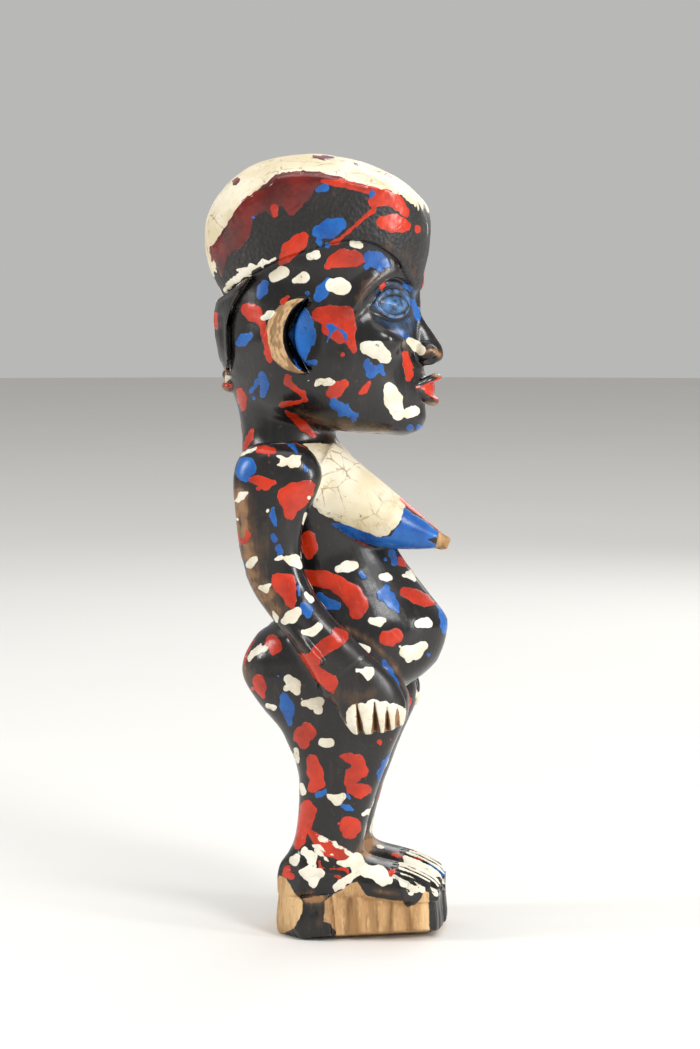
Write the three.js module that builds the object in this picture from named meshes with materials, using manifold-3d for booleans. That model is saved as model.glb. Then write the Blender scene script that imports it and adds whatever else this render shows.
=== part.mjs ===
// Carved and painted wooden fertility doll: a standing female figure with a flared coiffure, hands on the thighs and both feet on a hewn block.
// The figure is cut from one length of branch wood. Each mesh below is one carved region of that timber, closed in itself and named for what it is,
// with a 0.3 mm seam to its neighbours. Millimetres, +Z up, the figure faces -Y, and its right side is at -X. Nothing on it moves.
import * as THREE from "three";
import { mergeVertices } from "three/addons/utils/BufferGeometryUtils.js";
import Module from "manifold-3d";

// ---- driving dimensions, in millimetres ----
const HEIGHT = 300; // sole of the block to the crown of the coiffure
const SEAM = 0.3; // gap between two carved regions
const BLOCK_TOP = 15.6; // height of the block under the feet
const ANKLE = 33; // foot to leg
const NECK_BASE = 187; // torso to neck
const CENTRE_Y = 7.15; // shift that puts the origin under the middle of the figure
const AROUND = 20; // facets round a section

const wasm = await Module();
wasm.setup();

// A carved mass is a row of sections. Each section is
// [x, forward, z, tilt in degrees, half width across, half depth ahead, half depth behind, roundness ahead, roundness behind].
// The section's depth axis lies in the plane x = const, tilted up from the forward direction by the tilt.
const TORSO = [
  [0, -20, 188.5, 0, 18, 15, 15, 2.2, 2.2],
  [0, -19, 183, 0, 26, 18.5, 17.5, 2.3, 2.3],
  [0, -18, 176, 0, 29.5, 21, 19, 2.4, 2.4],
  [0, -15, 168, 0, 28, 22, 20, 2.3, 2.4],
  [0, -11, 158, 0, 24.5, 23, 19, 2.1, 2.3],
  [0, -8, 148.6, 0, 22.3, 26, 18.5, 1.9, 2.3],
  [0, -5.5, 140, 0, 22, 29.3, 19, 1.8, 2.3],
  [0, -3.5, 131.5, 0, 23.2, 33.8, 21, 1.75, 2.3],
  [0, -2.5, 122.5, 0, 25.2, 39.7, 24, 1.75, 2.3],
  [0, -2.5, 116, 0, 26.3, 40.1, 27, 1.75, 2.3],
  [0, -3, 107.6, 0, 26.3, 38, 28.5, 1.85, 2.3],
  [0, -4, 101.7, 0, 24.6, 34.8, 27.5, 1.9, 2.2],
  [0, -5, 96, 0, 21, 28, 25, 2, 2],
  [0, -6, 90, 0, 14, 18, 18, 2, 2],
  [0, -6, 86.5, 0, 6, 8, 8, 2, 2],
];
const LEG = [
  [-13, -16.5, 121, 0, 9, 10, 11, 2, 2],
  [-14.2, -15.2, 116.5, 0, 14.6, 18.5, 18.6, 2.1, 2],
  [-14.5, -13, 110, 0, 16.6, 25, 25, 2.2, 2],
  [-14.5, -11, 104, 0, 17.2, 29, 28.8, 2.3, 2],
  [-14.6, -8.5, 99, 0, 17.2, 30.5, 30.5, 2.3, 2.1],
  [-14.6, -5.6, 93, 0, 16.9, 30, 30, 2.4, 2.1],
  [-14.6, -3.2, 86.5, 0, 16.2, 27.4, 27.4, 2.4, 2.2],
  [-14.6, -1.8, 80, 0, 15.2, 23.3, 23.3, 2.4, 2.2],
  [-14.5, -1.5, 72, 0, 14, 19.5, 19.5, 2.4, 2.2],
  [-14.4, -1.6, 64, 0, 13, 16.6, 16.6, 2.4, 2.2],
  [-14.3, -2.9, 56, 0, 12.2, 14.9, 14.9, 2.4, 2.2],
  [-14.2, -4.3, 48, 0, 11.7, 13.9, 13.8, 2.4, 2.2],
  [-14.2, -5.8, 40, 0, 11.5, 13.4, 13.3, 2.4, 2.2],
  [-14.2, -6.9, 33, 0, 11.8, 13.9, 13.9, 2.4, 2.2],
  [-14.2, -6.5, 28, 0, 12.2, 15, 16, 2.4, 2.2],
];
const FOOT = [
  [-14.6, -26, 20.5, 90, 4.5, 3.5, 5, 2, 2],
  [-14.6, -24.2, 21, 90, 8.8, 8, 6.5, 2.2, 2.4],
  [-14.6, -18, 22, 90, 11.4, 12.5, 8, 2.2, 2.6],
  [-14.5, -8, 22, 90, 12, 14, 8, 2.3, 2.8],
  [-14.3, 2, 22, 90, 12.2, 12.2, 8, 2.3, 2.8],
  [-14.2, 10, 21, 90, 12.4, 9.6, 7, 2.3, 2.8],
  [-14.1, 18, 20.5, 90, 12.8, 8.1, 6.5, 2.3, 2.8],
  [-14, 25, 20, 90, 13, 6.6, 6, 2.4, 2.8],
  [-13.8, 30, 19.5, 90, 12.6, 4.9, 5.5, 2.4, 2.8],
  [-13.6, 34, 19, 90, 11, 3, 5, 2.4, 2.8],
  [-13.5, 36.2, 18.4, 90, 7.5, 1.2, 4, 2.2, 2.2],
];
const ARM = [
  [-30, -24, 190.6, 0, 6, 7, 7, 2, 2],
  [-31.4, -23.7, 188, 0, 9.2, 12.3, 12, 2.1, 2.1],
  [-32.6, -23.4, 183.5, 0, 10.4, 15.6, 15.4, 2.2, 2.2],
  [-33.5, -23.4, 178, 0, 10, 16.8, 16.6, 2.2, 2.2],
  [-34.2, -24.4, 171, 0, 9.3, 15.4, 15.2, 2.2, 2.2],
  [-34.6, -25.6, 164, 0, 8.8, 13.6, 13.4, 2.2, 2.2],
  [-34.6, -26.3, 157, 0, 8.4, 12.2, 12, 2.2, 2.2],
  [-34.2, -25.6, 148, 5, 8, 11.1, 11, 2.2, 2.2],
  [-33.8, -23.2, 139.5, 18, 7.8, 10.5, 10.5, 2.2, 2.2],
  [-33.6, -18.3, 131, 32, 7.6, 9.6, 9.6, 2.2, 2.2],
  [-33.4, -11, 121.5, 39, 7.3, 9, 9, 2.2, 2.2],
  [-33.4, -3.8, 113, 39, 7, 9.8, 9.8, 2.2, 2.2],
  [-33.4, 2, 105.4, 39, 6.5, 10.9, 10.9, 2.3, 2.3],
];
const HAND = [
  [-33.4, 2.2, 105, 39, 6.2, 11, 11, 2.3, 2.3],
  [-33.6, 7, 99.2, 37, 5.7, 11.9, 11.9, 2.4, 2.4],
  [-33.8, 11, 93.5, 30, 5.1, 12.3, 12.3, 2.5, 2.5],
  [-33.6, 13.4, 88.5, 18, 4.3, 11.8, 11.8, 2.6, 2.6],
  [-33.3, 14.2, 84.5, 6, 3.5, 10.7, 10.7, 2.6, 2.6],
  [-33, 14.4, 81.4, 4, 2.4, 9.4, 9.4, 2.4, 2.4],
];
const BREAST = [
  [-12, -12, 171.3, 69.4, 14.6, 19.6, 14.6, 2, 2],
  [-12.4, -4, 168.3, 69.4, 14.4, 17.4, 13.2, 2, 2],
  [-12.8, 4, 165.3, 69.4, 13.7, 14.6, 12.6, 2, 2],
  [-13.2, 12, 162.3, 69.4, 12.4, 11.7, 12, 2, 2],
  [-13.6, 20, 159.3, 69.4, 10.4, 8.8, 10, 2, 2],
  [-14, 28, 156.3, 69.4, 7.5, 5.9, 7.1, 2, 2],
  [-14.3, 34.2, 154, 69.4, 4.8, 3.7, 4.3, 2, 2],
  [-14.5, 37.4, 152.8, 69.4, 3, 2.4, 2.9, 2, 2],
  [-14.6, 40.2, 151.8, 69.4, 2.4, 2, 2.3, 2, 2],
];
const NECK = [
  [0, -22, 184, 0, 19, 20, 20, 2.1, 2.1],
  [0, -22.2, 187.5, 0, 17.6, 18.8, 18.8, 2.1, 2.1],
  [0, -23.5, 192, 0, 16.2, 17.8, 17.8, 2.1, 2.1],
  [0, -24.6, 198, 0, 15.7, 17.8, 17.9, 2.1, 2.1],
  [0, -25, 205, 0, 16.4, 18.6, 18.7, 2.1, 2.1],
  [0, -25, 212, 0, 18, 20, 20, 2.1, 2.1],
];
const HEAD = [
  [0, 16, 192.6, 0, 7, 7, 10, 2, 2],
  [0, 12, 194.6, 0, 14, 15, 21, 2, 2],
  [0, 5, 197.6, 0, 19.6, 23.3, 31, 2, 2],
  [0, -2, 202, 0, 24, 31, 36, 2, 2],
  [0, -6, 207, 0, 27, 34.8, 38, 2, 2],
  [0, -8.5, 213, 0, 29.5, 36.8, 37.5, 2, 2],
  [0, -10, 220, 0, 31.3, 37.8, 36.8, 2, 2],
  [0, -11, 228, 0, 32.5, 37.6, 36, 2, 2.1],
  [0, -11, 236, 0, 33, 37, 36.3, 2, 2.1],
  [0, -11, 244, 0, 33, 36.6, 37.5, 2, 2.1],
  [0, -11, 252, 0, 33, 36.8, 38, 2, 2.1],
  [0, -11, 260, 0, 32.5, 36.6, 37, 2, 2.1],
  [0, -11, 268, 0, 30, 33, 33, 2, 2],
  [0, -11, 275, 0, 20, 22, 22, 2, 2],
];
const COIFFURE = [
  [0, -11.7, 245.5, 0, 31, 37, 37, 2.2, 2.2],
  [0, -12, 250, 0, 32.6, 39, 38.8, 2.3, 2.3],
  [0, -12.4, 256, 0, 34.2, 40.8, 40.9, 2.4, 2.4],
  [0, -12.4, 262, 0, 35.4, 42.3, 42.4, 2.5, 2.5],
  [0, -12.4, 268, 0, 36.4, 42.8, 42.8, 2.6, 2.6],
  [0, -12.3, 274.5, 0, 37, 42.3, 42.2, 2.6, 2.6],
  [0, -12.2, 279.5, 0, 37, 40.5, 40.3, 2.6, 2.6],
  [0, -12.3, 284, 0, 36.6, 38, 37.7, 2.6, 2.6],
  [0, -12.6, 288, 0, 35.4, 34.4, 34.2, 2.5, 2.5],
  [0, -13.2, 291.6, 0, 32.4, 29.6, 29.6, 2.4, 2.4],
  [0, -14, 295, 0, 26.6, 23, 23.4, 2.3, 2.3],
  [0, -14.6, 298, 0, 18, 14.4, 14.8, 2.2, 2.2],
  [0, -15, HEIGHT, 0, 8, 6, 6, 2, 2],
];
const BRAID = [
  [0, -43, 250, 0, 3, 4, 4.5, 2, 2],
  [0, -43, 246, 0, 6, 4, 7.2, 2, 1.8],
  [0, -43, 240.5, 0, 9.2, 4, 9.4, 2, 1.7],
  [0, -43, 234, 0, 10.4, 4, 10, 2, 1.7],
  [0, -43, 227, 0, 9.8, 4, 9, 2, 1.7],
  [0, -43, 220.5, 0, 7.6, 4, 6.8, 2, 1.8],
  [0, -43, 216, 0, 4.4, 4, 4.9, 2, 2],
  [0, -43, 213, 0, 4.2, 4, 6, 2, 2],
  [0, -43, 210.4, 0, 4.4, 4, 6.7, 2, 2],
  [0, -43, 208.4, 0, 3, 3.4, 4.4, 2, 2],
];
// The hairline in side view, [forward, z]: two arches over the temples that meet in a peak between the brows.
const HAIRLINE = [
  [-60, 244.5], [-50, 247], [-42, 250.6], [-34, 254.9], [-24, 259.6], [-14.6, 262], [-3, 264.4],
  [8, 265.4], [16, 263.2], [22, 259.4], [26, 254], [28.6, 249], [36, 240],
];
// The hewn block in plan, [x, forward].
const BLOCK = [
  [-25.6, -19.4], [-27.2, -6], [-26.6, 10], [-23, 25.5], [-15.5, 34.6], [-4, 37.2], [6, 37], [16.5, 34.4],
  [24, 26], [27.4, 10], [28, -8], [25.4, -19], [16, -25.6], [2, -27.4], [-11, -26.6], [-20.5, -24],
];
const HAND_WRAP = 0.0115; // how fast the hand follows the thigh round towards the front
const EAR = { forward: -14.2, z: 231, outer: 13.6, inner: 7.2, face: 39, root: 29 };

// ---- shape helpers ----
const power = (v, p) => Math.sign(v) * Math.abs(v) ** p;

// The row of sections, smoothed to `rows` sections by a Catmull-Rom spline through each number.
function smoothRow(row, rows) {
  const out = [];
  const n = row.length - 1;
  for (let i = 0; i < rows; i++) {
    const t = (i / (rows - 1)) * n;
    const k = Math.min(Math.floor(t), n - 1);
    const u = t - k;
    const at = (j) => row[Math.max(0, Math.min(n, j))];
    out.push(
      row[0].map((_, c) => {
        const [p0, p1, p2, p3] = [at(k - 1)[c], at(k)[c], at(k + 1)[c], at(k + 2)[c]];
        return 0.5 * (2 * p1 + (p2 - p0) * u + (2 * p0 - 5 * p1 + 4 * p2 - p3) * u * u + (3 * p1 - p0 - 3 * p2 + p3) * u * u * u);
      }),
    );
  }
  return out;
}

// One closed loft through the sections, grown outwards by `grow`. `side` -1 mirrors it to the figure's left.
function loft(row, { rows = row.length, grow = 0, side = 1, bend = 0 } = {}) {
  const sections = smoothRow(row, rows);
  const centre = (s) => new THREE.Vector3(s[0], s[1], s[2]);
  const points = [];
  sections.forEach((s, i) => {
    const [, , , tilt, across, ahead, behind, ra, rb] = s;
    const angle = THREE.MathUtils.degToRad(tilt);
    const depth = new THREE.Vector3(0, Math.cos(angle), Math.sin(angle));
    const c = centre(s);
    if (grow && (i === 0 || i === sections.length - 1)) {
      const next = centre(sections[i === 0 ? 1 : i - 1]);
      c.addScaledVector(c.clone().sub(next).normalize(), grow);
    }
    for (let j = 0; j < AROUND; j++) {
      const t = (j / AROUND) * 2 * Math.PI;
      const up = Math.sin(t) >= 0;
      const e = 2 / (up ? ra : rb);
      const w = (across + grow) * power(Math.cos(t), e);
      const d = ((up ? ahead : behind) + grow) * power(Math.sin(t), e);
      points.push(c.clone().add(new THREE.Vector3(w, 0, 0)).addScaledVector(depth, d));
    }
    if (i === 0 || i === sections.length - 1) points.push(c);
  });
  const first = AROUND; // index of the first cap's centre
  const start = (i) => (i === 0 ? 0 : 1 + i * AROUND);
  const last = points.length - 1;
  const index = [];
  for (let i = 0; i < sections.length - 1; i++) {
    for (let j = 0; j < AROUND; j++) {
      const a = start(i) + j, b = start(i) + ((j + 1) % AROUND);
      const c = start(i + 1) + j, d = start(i + 1) + ((j + 1) % AROUND);
      index.push(a, b, d, a, d, c);
    }
  }
  for (let j = 0; j < AROUND; j++) {
    index.push(first, ((j + 1) % AROUND), j);
    index.push(last, start(sections.length - 1) + j, start(sections.length - 1) + ((j + 1) % AROUND));
  }
  const flat = points.flatMap((p) => {
    const x = p.x + (bend ? bend * Math.max(0, p.y) ** 2 : 0);
    return [x * side, -p.y, p.z];
  });
  const g = new THREE.BufferGeometry().setAttribute("position", new THREE.Float32BufferAttribute(flat, 3));
  g.setIndex(index);
  return solid(g);
}

// A three.js geometry as a manifold solid, facing out.
function solid(geometry) {
  const bare = new THREE.BufferGeometry().setAttribute("position", geometry.getAttribute("position").clone());
  if (geometry.index) bare.setIndex(geometry.index.clone());
  const merged = mergeVertices(bare, 1e-4);
  const triVerts = new Uint32Array(merged.index.array);
  const vertProperties = new Float32Array(merged.attributes.position.array);
  const make = () => new wasm.Manifold(new wasm.Mesh({ numProp: 3, vertProperties, triVerts }));
  let made = make();
  if (made.volume() < 0) {
    for (let i = 0; i < triVerts.length; i += 3) [triVerts[i + 1], triVerts[i + 2]] = [triVerts[i + 2], triVerts[i + 1]];
    made = make();
  }
  return made;
}

function box(x0, x1, y0, y1, z0, z1) {
  return solid(new THREE.BoxGeometry(x1 - x0, y1 - y0, z1 - z0).translate((x0 + x1) / 2, (y0 + y1) / 2, (z0 + z1) / 2));
}
const above = (z) => box(-200, 200, -200, 200, z, 500);
const below = (z) => box(-200, 200, -200, 200, -100, z);
const halfOf = (side) => (side > 0 ? box(-200, -SEAM / 2, -200, 200, -100, 500) : box(SEAM / 2, 200, -200, 200, -100, 500));

// A plane outline [u, v] extruded from x0 to x1, with u forward and v up.
function acrossX(outline, x0, x1) {
  const shape = new THREE.Shape(outline.map(([f, z]) => new THREE.Vector2(f, z)));
  const g = new THREE.ExtrudeGeometry(shape, { depth: x1 - x0, bevelEnabled: false, steps: 1 });
  // the outline's u goes to -Y, its v to Z, and the depth to X
  g.applyMatrix4(new THREE.Matrix4().set(0, 0, 1, x0, -1, 0, 0, 0, 0, 1, 0, 0, 0, 0, 0, 1));
  return solid(g);
}

// The C of the ear in side view: a flat-faced crescent, open towards the face.
function ear(side, grow = 0) {
  const { forward, z, outer, inner, face, root } = EAR;
  const from = THREE.MathUtils.degToRad(82), to = THREE.MathUtils.degToRad(278);
  const rim = [], hollow = [];
  for (let i = 0; i <= 14; i++) {
    const t = from + ((to - from) * i) / 14;
    rim.push([forward + (outer + grow) * 0.95 * Math.cos(t), z + (outer + 0.3 + grow) * Math.sin(t)]);
    const thin = inner - grow + 5.6 * Math.abs(Math.cos(((t - from) / (to - from)) * Math.PI)) ** 2.2;
    hollow.push([forward + 1.2 + thin * 0.95 * Math.cos(t), z + Math.min(thin, outer - 0.4) * Math.sin(t)]);
  }
  return acrossX([...rim, ...hollow.reverse()], side > 0 ? -face - grow : root, side > 0 ? -root : face + grow);
}

function hairlineCutter(grow) {
  const line = HAIRLINE.map(([f, z]) => [f, z - grow]);
  return acrossX([...line, [36, 150], [-60, 150]], -80, 80);
}

function blockSolid() {
  const shape = new THREE.Shape(BLOCK.map(([x, f]) => new THREE.Vector2(x, -f)));
  const g = new THREE.ExtrudeGeometry(shape, { depth: BLOCK_TOP, bevelEnabled: false, steps: 1 });
  // a chip split out of the lower rear corner on the right side, and the relief under the toes
  const chip = solid(new THREE.BoxGeometry(40, 14, 8).rotateZ(0.35).translate(-22, 26.5, 0));
  const toe = solid(new THREE.BoxGeometry(60, 20, 6).rotateX(-0.16).translate(0, -34, -1.6));
  // the underside is hewn up along the right side
  const hewn = solid(new THREE.BoxGeometry(60, 120, 20).translate(0, 0, -10).rotateY(0.31).rotateX(-0.11).translate(-27, 19, 0.5));
  return solid(g).subtract(chip).subtract(toe).subtract(hewn);
}

// ---- the carved regions ----
const coiffureOf = (grow) => loft(COIFFURE, { rows: 16, grow }).subtract(hairlineCutter(grow));
const headOf = (grow) => loft(HEAD, { rows: 16, grow });
const legOf = (side, grow) => loft(LEG, { rows: 14, grow, side });
const armOf = (side, grow) => loft(ARM, { rows: 15, grow, side, bend: HAND_WRAP });
const mittenOf = (side, grow) => loft(HAND, { rows: 7, grow, side, bend: HAND_WRAP });
// Four notches split the end of a hand into five pointed fingers.
const NOTCHES = [
  [[6.8, 94.4], [7.2, 94.4], [10.9, 76], [7.4, 76]],
  [[13.6, 94.4], [14, 94.4], [16.6, 76], [12.6, 76]],
  [[18.3, 93], [18.7, 93], [20.4, 78], [17.3, 78]],
  [[22.2, 93], [22.6, 93], [23.6, 80], [21.6, 80]],
];
const handOf = (side, grow) => {
  let hand = mittenOf(side, grow);
  if (!grow) for (const notch of NOTCHES) hand = hand.subtract(acrossX(notch, side > 0 ? -60 : 15, side > 0 ? -15 : 60));
  return hand;
};
// The left breast hangs a little lower and shorter than the right one.
const LEFT_BREAST = BREAST.map(([x, f, z, tilt, across, ahead, ...rest]) => {
  const t = (f + 12) / 52;
  return [x, f - 0.8 - 3 * t, z - 1 - 2.2 * t, tilt, across, ahead - 2.2 * (1 - t), ...rest];
});

const parts = {};
const bothSides = [["right", 1], ["left", -1]];

const coiffure = coiffureOf(0);
parts.coiffure = coiffure;

// Nose, lips and chin stand out of the head; the concha is sunk into it behind the cheek.
const nose = loft([
  [0, 24, 248, 0, 2.4, 2.4, 3, 2, 2],
  [0, 24.3, 240, 0, 3, 2.6, 3, 2, 2],
  [0, 25, 236, 0, 3.4, 4.1, 4, 1.9, 2],
  [0, 25.9, 231, 0, 4.8, 6.7, 4, 1.8, 2],
  [0, 26.6, 226.5, 0, 6.6, 8.7, 4, 1.8, 2],
  [0, 26.7, 223.2, 0, 7.6, 9.1, 4, 1.8, 2],
  [0, 26.5, 219.8, 0, 5, 6, 4, 1.8, 2],
], { rows: 9 });
const upperLip = loft([
  [0, 25.6, 219.4, 0, 4, 3, 4, 2, 2],
  [0, 26, 216.2, 0, 9, 7.6, 5, 1.5, 2],
  [0, 26, 213.6, 0, 9.2, 7.4, 5, 1.5, 2],
  [0, 25.6, 211.6, 0, 8.6, 6, 5, 1.6, 2],
], { rows: 6 });
const lowerLip = loft([
  [0, 25.6, 211, 0, 8.4, 6.4, 5, 1.6, 2],
  [0, 26, 208, 0, 8.2, 6.8, 5, 1.6, 2],
  [0, 26, 205, 0, 6.4, 7, 5, 1.7, 2],
  [0, 25.4, 202.8, 0, 4, 4, 4, 2, 2],
], { rows: 6 });
let head = headOf(0).add(nose).add(upperLip).add(lowerLip).subtract(coiffureOf(SEAM));
for (const [, side] of bothSides) {
  const concha = solid(new THREE.SphereGeometry(1, 16, 10).scale(6.5, 6.4, 12).translate(-34.5 * side, 13.6, 231));
  head = head.subtract(concha);
}
parts.head = head;

parts.neck = loft(NECK, { rows: 7 }).subtract(headOf(SEAM)).intersect(above(NECK_BASE + SEAM));

const arms = {}, hands = {};
for (const [name, side] of bothSides) {
  hands[name] = handOf(side, 0);
  arms[name] = armOf(side, 0).subtract(handOf(side, SEAM)).subtract(loft(NECK, { rows: 7, grow: SEAM }));
}
let torso = loft(TORSO, { rows: 17 }).intersect(below(NECK_BASE));
for (const [, side] of bothSides) torso = torso.subtract(armOf(side, SEAM)).subtract(handOf(side, SEAM));
parts.torso = torso;

for (const [name, side] of bothSides) {
  parts[name + "_arm"] = arms[name];
  parts[name + "_hand"] = hands[name];
  parts[name + "_breast"] = loft(side > 0 ? BREAST : LEFT_BREAST, { rows: 10, side }).subtract(loft(TORSO, { rows: 17, grow: SEAM })).intersect(halfOf(side)).subtract(armOf(side, SEAM));
  parts[name + "_leg"] = legOf(side, 0)
    .subtract(loft(TORSO, { rows: 17, grow: SEAM }))
    .subtract(handOf(side, SEAM))
    .subtract(armOf(side, SEAM))
    .intersect(halfOf(side))
    .intersect(above(ANKLE + SEAM));
  parts[name + "_foot"] = loft(FOOT, { rows: 12, side })
    .add(loft(LEG, { rows: 14, side }))
    .intersect(below(ANKLE))
    .intersect(above(BLOCK_TOP + SEAM))
    .intersect(halfOf(side));
  parts[name + "_ear"] = ear(side).subtract(headOf(SEAM)).subtract(coiffureOf(SEAM));
}
parts.nape_braid = loft(BRAID, { rows: 12 }).subtract(headOf(SEAM)).subtract(coiffureOf(SEAM)).subtract(loft(NECK, { rows: 7, grow: SEAM }));
parts.base_block = blockSolid();

// ---- finishes: blackened wood with enamel dabs; the block is mostly bare, adze-cut wood ----
const blackened = { color: 0x2b2726, roughness: 0.42, metalness: 0 };
const cream = { color: 0xd8cdb0, roughness: 0.6, metalness: 0 };
const bareWood = { color: 0xb98a52, roughness: 0.75, metalness: 0 };
const FINISH = {
  coiffure: cream, right_breast: cream, left_breast: cream, right_ear: bareWood, left_ear: bareWood, base_block: bareWood,
};

// The largest body of a result, so that a sliver left by a cut doesn't travel with it.
function whole(made) {
  const bodies = made.decompose().filter((b) => b.volume() > 0);
  return bodies.sort((a, b) => b.volume() - a.volume())[0];
}

function toGeometry(made) {
  const m = made.getMesh();
  const position = new Float32Array(m.numVert * 3);
  for (let i = 0; i < m.numVert; i++) position.set(m.vertProperties.subarray(i * m.numProp, i * m.numProp + 3), i * 3);
  const g = new THREE.BufferGeometry().setAttribute("position", new THREE.BufferAttribute(position, 3));
  g.setIndex(new THREE.BufferAttribute(new Uint32Array(m.triVerts), 1));
  g.computeVertexNormals();
  return g;
}

const doll = new THREE.Group();
doll.name = "fertility_doll";
for (const [name, made] of Object.entries(parts)) {
  const mesh = new THREE.Mesh(toGeometry(whole(made)), new THREE.MeshStandardMaterial(FINISH[name] ?? blackened));
  mesh.name = name;
  mesh.position.set(0, -CENTRE_Y, 0);
  doll.add(mesh);
}

export default doll;
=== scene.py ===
import math
import time

import bpy
import numpy as np
import openvdb as vdb
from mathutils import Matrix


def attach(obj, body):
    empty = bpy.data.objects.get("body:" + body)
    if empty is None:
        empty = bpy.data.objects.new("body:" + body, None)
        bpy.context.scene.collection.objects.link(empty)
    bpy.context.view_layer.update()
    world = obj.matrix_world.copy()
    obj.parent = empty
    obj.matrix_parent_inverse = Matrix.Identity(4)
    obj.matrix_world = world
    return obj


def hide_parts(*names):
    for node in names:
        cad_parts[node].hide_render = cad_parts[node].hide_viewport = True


T0 = time.time()


def note(text):
    print(f"[{time.time() - T0:6.1f} s] {text}", flush=True)


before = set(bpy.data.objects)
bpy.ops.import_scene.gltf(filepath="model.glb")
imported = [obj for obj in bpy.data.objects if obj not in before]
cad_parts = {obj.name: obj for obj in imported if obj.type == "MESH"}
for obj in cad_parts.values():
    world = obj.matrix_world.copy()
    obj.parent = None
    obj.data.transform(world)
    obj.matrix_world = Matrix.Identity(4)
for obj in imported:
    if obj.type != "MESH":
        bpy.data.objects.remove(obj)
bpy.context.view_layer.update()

# The carving is shaped in its own working axes, in millimetres: x across (the figure's right side is at -x),
# f forward and z up. The frame's y is -(f + CY).
CY = 7.15
H = 0.5  # spacing of the shaping grid
SEED = 20

# ---------------------------------------------------------------------------------------------------------
# Sections of each carved mass: x, f, z, tilt, half width, half depth ahead, half depth behind, roundness ahead, behind
# ---------------------------------------------------------------------------------------------------------
TORSO = [
    [0, -21, 190.6, 0, 12, 10, 12, 2.2, 2.2],
    [0, -20, 188.5, 0, 19, 16, 18, 2.2, 2.2],
    [0, -19, 183, 0, 26, 19.5, 19.5, 2.3, 2.3],
    [0, -18, 176, 0, 29.5, 21, 19.5, 2.4, 2.4],
    [0, -15, 168, 0, 28, 22, 20, 2.3, 2.4],
    [0, -11, 158, 0, 24.5, 23, 19, 2.1, 2.3],
    [0, -8, 148.6, 0, 22.3, 26, 18.5, 1.9, 2.3],
    [0, -5.5, 140, 0, 22.3, 29.3, 19, 1.85, 2.3],
    [0, -3.5, 131.5, 0, 23.6, 33.8, 21, 1.8, 2.3],
    [0, -2.5, 122.5, 0, 25.4, 39.7, 24, 1.8, 2.3],
    [0, -2.5, 116, 0, 26.3, 40.1, 27, 1.8, 2.3],
    [0, -3, 107.6, 0, 26.3, 38, 28.5, 1.85, 2.3],
    [0, -4, 101.7, 0, 24.6, 34.8, 27.5, 1.9, 2.2],
    [0, -5, 96, 0, 21, 28, 25, 2, 2],
    [0, -6, 90, 0, 14, 18, 18, 2, 2],
    [0, -6, 86.5, 0, 6, 8, 8, 2, 2],
]
LEG = [
    [-13, -16.5, 121, 0, 9, 10, 11, 2, 2],
    [-14.2, -15.2, 116.5, 0, 14.6, 18.5, 18.6, 2.1, 2],
    [-14.5, -13, 110, 0, 16.6, 25, 25, 2.2, 2],
    [-14.5, -11, 104, 0, 17.2, 29, 28.8, 2.3, 2],
    [-14.6, -8.5, 99, 0, 17.2, 30.5, 30.5, 2.3, 2.1],
    [-14.6, -5.6, 93, 0, 16.9, 30, 30, 2.4, 2.1],
    [-14.6, -3.2, 86.5, 0, 16.2, 27.4, 27.4, 2.4, 2.2],
    [-14.6, -1.8, 80, 0, 15.2, 23.3, 23.3, 2.4, 2.2],
    [-14.5, -1.5, 72, 0, 14, 19.5, 19.5, 2.4, 2.2],
    [-14.4, -1.6, 64, 0, 13, 16.6, 16.6, 2.4, 2.2],
    [-14.3, -2.9, 56, 0, 12.2, 14.9, 14.9, 2.4, 2.2],
    [-14.2, -4.3, 48, 0, 11.7, 13.9, 13.8, 2.4, 2.2],
    [-14.2, -5.8, 40, 0, 11.5, 13.4, 13.3, 2.4, 2.2],
    [-14.2, -6.9, 33, 0, 11.8, 13.9, 13.9, 2.4, 2.2],
    [-14.2, -6.5, 26, 0, 12.2, 15, 16, 2.4, 2.2],
]
FOOT = [
    [-14.6, -26, 20.5, 90, 4.5, 3.5, 5, 2, 2],
    [-14.6, -24.2, 21, 90, 8.8, 8, 6.5, 2.2, 2.4],
    [-14.6, -18, 22, 90, 11.4, 12.5, 8, 2.2, 2.6],
    [-14.5, -8, 22, 90, 12, 14, 8, 2.3, 2.8],
    [-14.3, 2, 22, 90, 12.2, 12.2, 8, 2.3, 2.8],
    [-14.2, 10, 21, 90, 12.4, 9.6, 7, 2.3, 2.8],
    [-14.1, 18, 20.5, 90, 12.8, 8.1, 6.5, 2.3, 2.8],
    [-14, 25, 20, 90, 13, 6.6, 6, 2.4, 2.8],
    [-13.8, 30, 19.5, 90, 12.6, 4.9, 5.5, 2.4, 2.8],
    [-13.6, 34, 19, 90, 11, 3, 5, 2.4, 2.8],
    [-13.5, 36.2, 18.4, 90, 7.5, 1.2, 4, 2.2, 2.2],
]
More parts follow.
